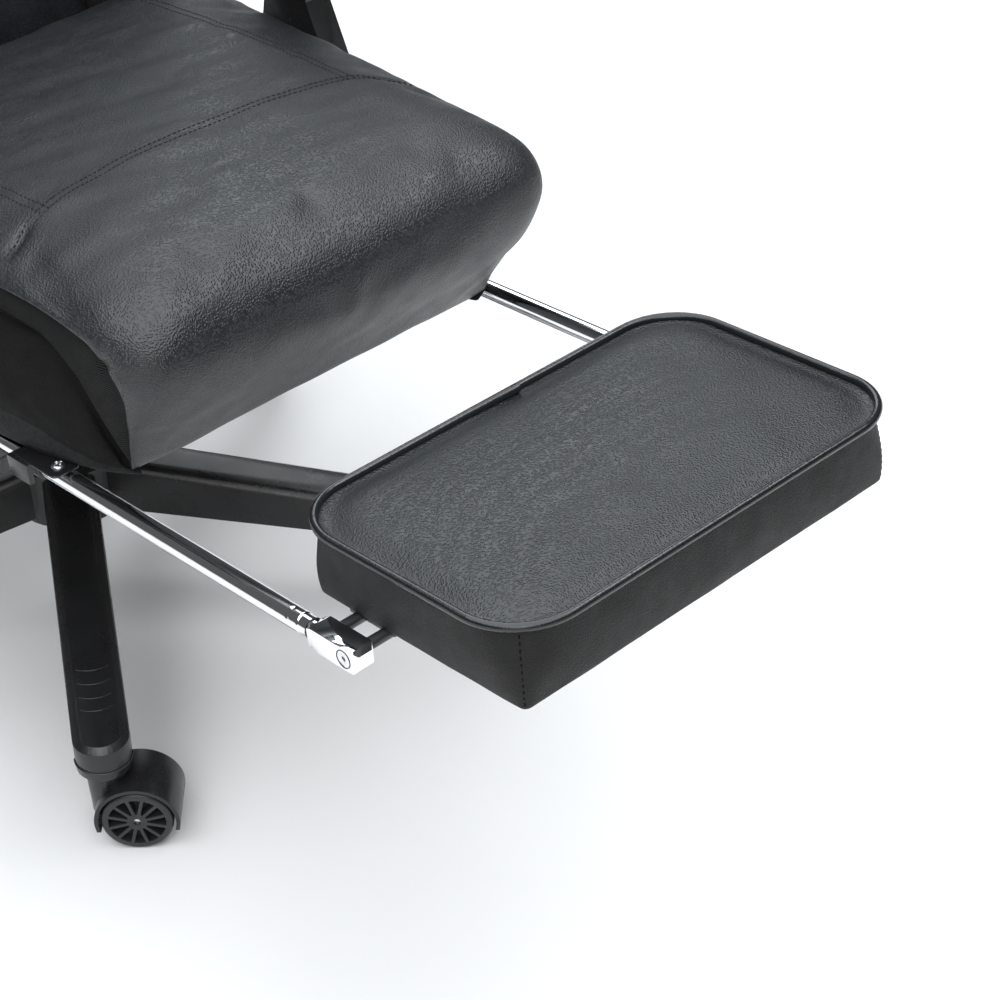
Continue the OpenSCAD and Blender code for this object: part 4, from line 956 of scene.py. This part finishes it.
def back_bolsters():
    rows = []
    for f in ends_and(40):
        u = mix(10, BACK_TOP, f)
        e = mix(0.4, 1, end_round(f, 0.09))
        x0 = centre_half(f) + 0.8
        x1 = back_half(u) + 4 * (-1 if u < 0.3 * BACK_H else 1)
        w = (x1 - x0) / 2 * mix(0.8, 1, e)
        t = 108 * mix(1, 0.85, f) * e * lookup(u / BACK_H, LOW_CUT)
        rows.append(raised(ring(w, w, -t, -0.4, 26, 8, 8, 7), u) + (x0 + w, 0, 0))
    for side, name in ((1, "back_bolster_left"), (-1, "back_bolster_right")):
        bolster = ring_skin(name, np.array(rows) * (side, 1, 1), BACK)
        bolster = plumped(bolster, BACK, 0.006, 2.0, 12, 0.8, 55, 11)
        cushion(bolster, "back", SIDE_LEATHER, ["back_bolsters"])


def head_cushion_cover():
    rows = []
    for f in ends_and(40):
        u = mix(BACK_TOP + 3, BACK_H + 4, f)
        e = end_round(f, 0.3)
        w = back_half(u) + 4 * (2 * e - 1.5)
        t = 78 * mix(0.4, 1, e)
        rows.append(raised(ring(w, w, -t, -0.4, 24, 8, 12, 7), u))
    head = ring_skin("head_cushion_cover", rows, BACK)
    head = plumped(head, BACK, 0.007, 2.5, 14, 0.8, 60, 13)
    cushion(head, "back", TOP_LEATHER, ["head_cushion"])


def back_rear_panel():
    rows = []
    for f in ends_and(60):
        u = mix(6, BACK_H + 2, f)
        w = back_half(u) - 2
        t = 30 * mix(0.3, 1, end_round(f, 0.12))
        rows.append(raised(ring(w, w, 12.4, 12 + t, 3, 19 * t / 30, 12, 6), u))
    rear = doubled(ring_skin("back_rear_panel", rows, BACK))
    wrinkle(rear, BACK, 0.6, 80, 17)
    cushion(rear, "back", SIDE_LEATHER, ["rear_cover"])


def back_edge():
    """The piping round the back's edge, and the strip that covers its board's edge."""
    outline = [(back_half(u) + 1, SEAM_Y, u) for u in np.linspace(14, BACK_H - 10, 60)]
    end = back_half(BACK_H) - 12
    loop = outline + [(x, SEAM_Y, BACK_H + 1) for x in np.linspace(end, -end, 12)]
    loop += [(-x, y, z) for x, y, z in outline[::-1]]
    edge = even(loop, 8)
    trim("back_edge_piping", [edge], BACK, PIPING_TREE, PIPING, "back", Radius=0.003)
    way = np.gradient(edge, axis=0)
    out = np.column_stack([way[:, 2], 0 * way[:, 0], -way[:, 0]])
    out /= np.linalg.norm(out, axis=1, keepdims=True)
    out *= np.sign((out * (edge - (0, SEAM_Y, BACK_H / 2))).sum(1).mean())
    strip = Sewing("back_edge_strip")
    strip.patch([edge + out * o + (0, y - SEAM_Y, 0) for o, y in STRIP_SECTION], 0)
    cushion(strip.piece(BACK), "back", SIDE_LEATHER)


# Arm pads: each level is a share of the height, and how far in it lies by the pad's half width

ARM_LEVELS = [(0, 0.16), (0.06, 0.09), (0.12, 0.04), (0.25, 0.015), (0.4, 0), (0.55, 0.008),
              (0.7, 0.03), (0.8, 0.06), (0.88, 0.1), (0.94, 0.17), (0.97, 0.24), (1, 0.42)]
ARM_X, ARM_HALF, ARM_FRONT, ARM_REAR = 268, 45, -155, 105
ARM_LOW, ARM_H, ARM_SEAM_Z = 324.4, 26, 334.8


def arm_pads():
    for side, label in ((1, "left"), (-1, "right")):
        rows = []
        for h, share in ARM_LEVELS:
            i = share * ARM_HALF
            w = ARM_HALF - i
            flat = ring(w, w, ARM_FRONT + i, ARM_REAR - i, w * 0.7, w * 0.7, 12, 8)
            rows.append(raised(flat, ARM_LOW + h * ARM_H) + (ARM_X, 0, 0))
        pad = ring_skin("arm_pad_cover_" + label, np.array(rows) * (side, 1, 1), SEAT, (0, 1, 4))
        inflate(pad, 0.003, 1.5, 10)
        pad = doubled(pad)
        cushion(pad, "seat", TOP_LEATHER, ["arm_pad_" + label])
        w = ARM_HALF + 0.3
        flat = ring(w, w, ARM_FRONT - 0.3, ARM_REAR + 0.3, 31.5, 31.5, 24, 12)
        seam = (raised(flat, ARM_SEAM_Z) + (ARM_X, 0, 0)) * (side, 1, 1)
        trim("arm_pad_piping_" + label, [seam], SEAT, PIPING_TREE, PIPING, "seat", closed=True,
             Radius=0.002)


# Hard pieces: the CAD form with softened edges

def softened(node, edge, material, segments=2, rework=None):
    """A copy of a CAD node with its faces made whole and its edges rounded, in its place."""
    source = frame["nodes"][node]
    work = bmesh.new()
    work.from_mesh(source.data)
    bmesh.ops.remove_doubles(work, verts=work.verts, dist=2e-6)
    bmesh.ops.dissolve_limit(work, angle_limit=math.radians(0.6), verts=work.verts, edges=work.edges)
    mesh = bpy.data.meshes.new(node + "_finished")
    work.to_mesh(mesh)
    work.free()
    piece = new_piece(node + "_finished", mesh)
    layer = piece.modifiers.new("edges", "BEVEL")
    layer.width, layer.segments, layer.limit_method = edge * MM, segments, "ANGLE"
    layer.angle_limit, layer.use_clamp_overlap = math.radians(32), True
    piece = baked(piece)
    if rework:
        rework(piece.data)
    body = body_of(source)[0]
    return fit(piece, body, material, [node], sharp=40)


def keep(node, material):
    """A CAD node that stays, with its own finish."""
    piece = frame["nodes"][node]
    piece.data.materials.clear()
    piece.data.materials.append(material)


ARM_REACH, TIP_HALF, BASE_TURN = 322, 21.5, -31.2
TIP_START, SCOOP_START, SCOOP_RADIUS, SCOOP_DEPTH = 250, 302, 14.5, 4.4
GRIP_LINES = (264.5, 279, 293.5, 306.5)


def arm_axes(i):
    """Outwards and sideways along a base arm."""
    angle = math.radians(-90 + BASE_TURN + 72 * i)
    return (np.array((math.cos(angle), math.sin(angle), 0)),
            np.array((-math.sin(angle), math.cos(angle), 0)))


def eased(x):
    """0 to 1, starting and stopping softly."""
    return x * x * (3 - 2 * x)


def cut_tips(mesh):
    """A scooped hollow in the top of each arm's end, over a fine grid of cuts."""
    work = bmesh.new()
    work.from_mesh(mesh)
    for i in range(5):
        out, over = (Vector(axis) for axis in arm_axes(i))
        cuts = ((out, np.arange(SCOOP_START, ARM_REACH + 20, 2.0)), (over, np.arange(-19, 20, 2.0)))
        for axis, places in cuts:
            for at in places:
                near = {f for f in work.faces if f.normal.z > 0.3
                        and (f.calc_center_median() / MM).dot(out) > TIP_START}
                near |= {e for f in near for e in f.edges} | {v for f in near for v in f.verts}
                bmesh.ops.bisect_plane(work, geom=list(near), plane_co=axis * float(at) * MM,
                                       plane_no=axis, dist=1e-6)
        for v in work.verts:
            r, t = (v.co / MM).dot(out), (v.co / MM).dot(over)
            if r < SCOOP_START or v.normal.z < 0.3:
                continue
            q = math.hypot(t, max(0, r - ARM_REACH) * 1.3) / SCOOP_RADIUS
            inside = min(1, max(0, (1.12 - q) / 0.34))
            rise = min(1, max(0, (r - SCOOP_START - 1) / 20))
            v.co.z -= SCOOP_DEPTH * MM * eased(inside) * eased(rise)
    work.to_mesh(mesh)
    work.free()


def base_arm_tips(star):
    """Raised grip lines across each arm's end and the lip round its foot."""
    lines, lips = [], []
    foot = TIP_HALF + 0.1
    for i in range(5):
        out, over = arm_axes(i)
        for r in GRIP_LINES:
            arc = [out * (r - 4 * (t / 16) ** 2) + over * t + (0, 0, 130)
                   for t in np.linspace(-15.5, 15.5, 18)]
            lines.append(on_surface(star, MILLIMETRES, arc))
        lips.append([out * (ARM_REACH + foot * math.cos(a)) + over * foot * math.sin(a) + (0, 0, 76)
                     for a in np.radians(np.linspace(-92, 92, 40))])
    trim("arm_grip_lines", lines, MILLIMETRES, PIPING_TREE, NYLON, "base", "nylon", Radius=0.0006)
    trim("arm_foot_lips", lips, MILLIMETRES, PIPING_TREE, NYLON, "base", "nylon", Radius=0.0009)


# Footrest rods and their guides' tabs, in the seat frame

ROD_X, ROD_Z, ROD_R = 180, 19.7, 7.2
HEAD_FACE = 8.5
GUIDE_X = 183
DENT_Y, DENT_DEPTH, DENT_WIDTH = -517, 0.3, 1.1


def turned(sewing, profile, x, dents=(), closed=True):
    """A turned form along a rod, from (y, radius) stations, with small pressed dents."""
    angle = np.linspace(0, 2 * math.pi, 48, endpoint=False)
    rows = []
    for y, r in profile:
        radius = np.full(len(angle), float(r))
        for facing in dents:
            gap = (angle - facing + math.pi) % (2 * math.pi) - math.pi
            radius -= DENT_DEPTH * np.exp(-((gap * r / DENT_WIDTH) ** 2)
                                          - ((y - DENT_Y) / DENT_WIDTH) ** 2)
        rows.append(np.column_stack([x + radius * np.cos(angle), np.full(len(angle), y),
                                     ROD_Z + radius * np.sin(angle)]))
    sewing.patch(rows, 0, around=True)
    if closed:
        sewing.fan(rows[0], 0)
        sewing.fan(rows[-1], 0)


def footrest_rods():
    rods, rings = Sewing("footrest_rods_turned"), Sewing("rod_seal_rings")
    profile = [(-152.2, 3.0), (-153.4, 3.4), (-153.4, 5.0), (-152.0, 5.6), (-152.4, 6.6),
               (-153.6, ROD_R)]
    profile += [(y, ROD_R) for y in np.linspace(-165, -506, 22)]
    profile += [(y, ROD_R) for y in np.arange(-508, -526, -0.7)]
    profile += [(-526.2, 7.1), (-526.7, 6.75), (-530, 6.7), (-533.9, 6.7), (-534.3, 6.2), (-538, 6.1)]
    seal = [(-534.1, 6.15), (-534.1, 7.0), (-534.9, 7.0), (-534.9, 6.15)]
    up = math.pi / 2
    for x in (-ROD_X, ROD_X):
        out = math.pi if x < 0 else 0
        turned(rods, profile, x, dents=(up, up + (out - up) * 0.7, -up))
        turned(rings, seal, x, closed=False)
    fit(rods.piece(SEAT), "footrest", CHROME, ["footrest_rods"], sharp=30)
    fit(rings.piece(SEAT), "footrest", NYLON, sharp=30)


def cross_screw(sewing, centre, radius, height):
    """A pan head with its cross recess, facing up."""
    centre = np.array(centre)
    rows = []
    for share in (1.0, 1.0, 0.97, 0.9, *np.linspace(0.82, 0.06, 15)):
        rise = height * math.sqrt(max(0, 1 - share ** 4)) if rows else -0.2
        row = []
        for a in np.arange(56) * 2 * math.pi / 56:
            x, y = radius * share * math.cos(a), radius * share * math.sin(a)
            along, aside = max(abs(x), abs(y)), min(abs(x), abs(y))
            cut = min(1, max(0, (0.62 - along / radius) / 0.1))
            cut *= min(1, max(0, (0.17 - aside / radius) / 0.07))
            row.append(centre + (x, y, rise - 0.75 * height * cut))
        rows.append(row)
    sewing.patch(rows, 0, around=True)
    sewing.fan(rows[-1], 0)


def guide_tabs():
    tabs, screws = Sewing("guide_tabs"), Sewing("guide_tab_screws")
    levels = ((27.7, 1.2), (27.9, 0.8), (28.3, 0.2), (29.1, 0.2), (29.6, 0.7), (29.7, 1.2))
    for side in SIDES:
        rows = []
        for z, inset in levels:
            flat = ring(11 - inset, 11 - inset, -281 + inset, -232 - inset, 4, 2, 8, 6)
            rows.append((raised(flat, z) + (GUIDE_X, 0, 0)) * (side, 1, 1))
        tabs.patch(rows, 0, around=True)
        tabs.fan(rows[0], 0)
        tabs.fan(rows[-1], 0)
        cross_screw(screws, (GUIDE_X * side, -270, 29.7), 5.2, 2.4)
    fit(tabs.piece(SEAT), "seat", NYLON, sharp=40)
    fit(screws.piece(SEAT), "seat", ZINC, sharp=50)


def pivot_screw_painted_shade():
    """Painted shade: a dark ring round each pivot screw's head and a dark disc sunk in its socket, made
    as thin dark nylon.
    """
    painted_shade_rings = Sewing("pivot_screw_painted_shade")
    # Painted shade as dark nylon: a ring just proud of the head's face at its rim, and a disc inside
    # its socket
    shade_ring = ((5.7, 0), (5.8, 0.25), (6.4, 0.25), (6.5, 0))
    socket_shade = ((1.9, -0.5), (1.7, -0.45))
    for side in SIDES:
        for section, count in ((shade_ring, 48), (socket_shade, 6)):
            angle = np.linspace(0, 2 * math.pi, count, endpoint=False)
            rows = []
            for r, proud in section:
                face = np.full(count, side * (ROD_X + HEAD_FACE + proud))
                rows.append(np.column_stack([face, PIVOT_Y + r * np.cos(angle),
                                             ROD_Z + r * np.sin(angle)]))
            painted_shade_rings.patch(rows, 0, around=True)
            if section is socket_shade:
                painted_shade_rings.fan(rows[-1], 0)
    fit(painted_shade_rings.piece(SEAT), "footrest", NYLON, sharp=30)


def hard_pieces():
    base_arm_tips(softened("base_star", 1.2, NYLON, segments=3, rework=cut_tips))
    for i in range(1, 6):
        softened(f"caster_{i}_hood", 1.1, NYLON, segments=3)
        softened(f"caster_{i}_wheels", 0.5, WHEEL)
        keep(f"caster_{i}_axle", ZINC)
    for node in ("caster_stems", "lift_rod", "lift_clip", "lift_button", "rock_pin", "recliner_pins"):
        keep(node, ZINC)
    for node, edge, finish in (
            ("lift_tube", 0.6, BLACK_STEEL), ("cover_lower", 0.7, NYLON), ("cover_middle", 0.7, NYLON),
            ("cover_upper", 0.7, NYLON), ("lift_piston", 0.6, BLACK_STEEL),
            ("tilt_housing", 0.9, BLACK_STEEL), ("height_lever", 0.3, BLACK_STEEL),
            ("height_lever_grip", 0.8, NYLON), ("tension_knob", 1.2, NYLON),
            ("seat_plate", 0.6, BLACK_STEEL), ("frame_bolts", 0.6, ZINC),
            ("side_plate_left", 1.0, BLACK_STEEL), ("side_plate_right", 1.0, BLACK_STEEL),
            ("rod_guides", 0.6, NYLON), ("guide_screws", 0.3, ZINC),
            ("arm_post_left", 2.0, NYLON), ("arm_post_right", 2.0, NYLON),
            ("rod_stops", 0.5, BLACK_STEEL), ("rod_heads", 1.5, CHROME), ("pivot_screws", 0.3, ZINC),
            ("pad_hinge_bars", 0.5, BLACK_STEEL), ("recliner_arms", 0.8, BLACK_STEEL),
            ("recliner_covers", 1.2, NYLON), ("recline_lever", 1.2, NYLON)):
        softened(node, edge, finish)
    footrest_rods()
    guide_tabs()
    pivot_screw_painted_shade()
    keep("seat_pan", LINING)
    keep("pad_board", LINING)
    keep("back_board", BOARD)


aim_camera()
studio()
hard_pieces()
seat_cover()
footrest_pad()
back_centre_cushion()
back_bolsters()
head_cushion_cover()
back_rear_panel()
back_edge()
arm_pads()
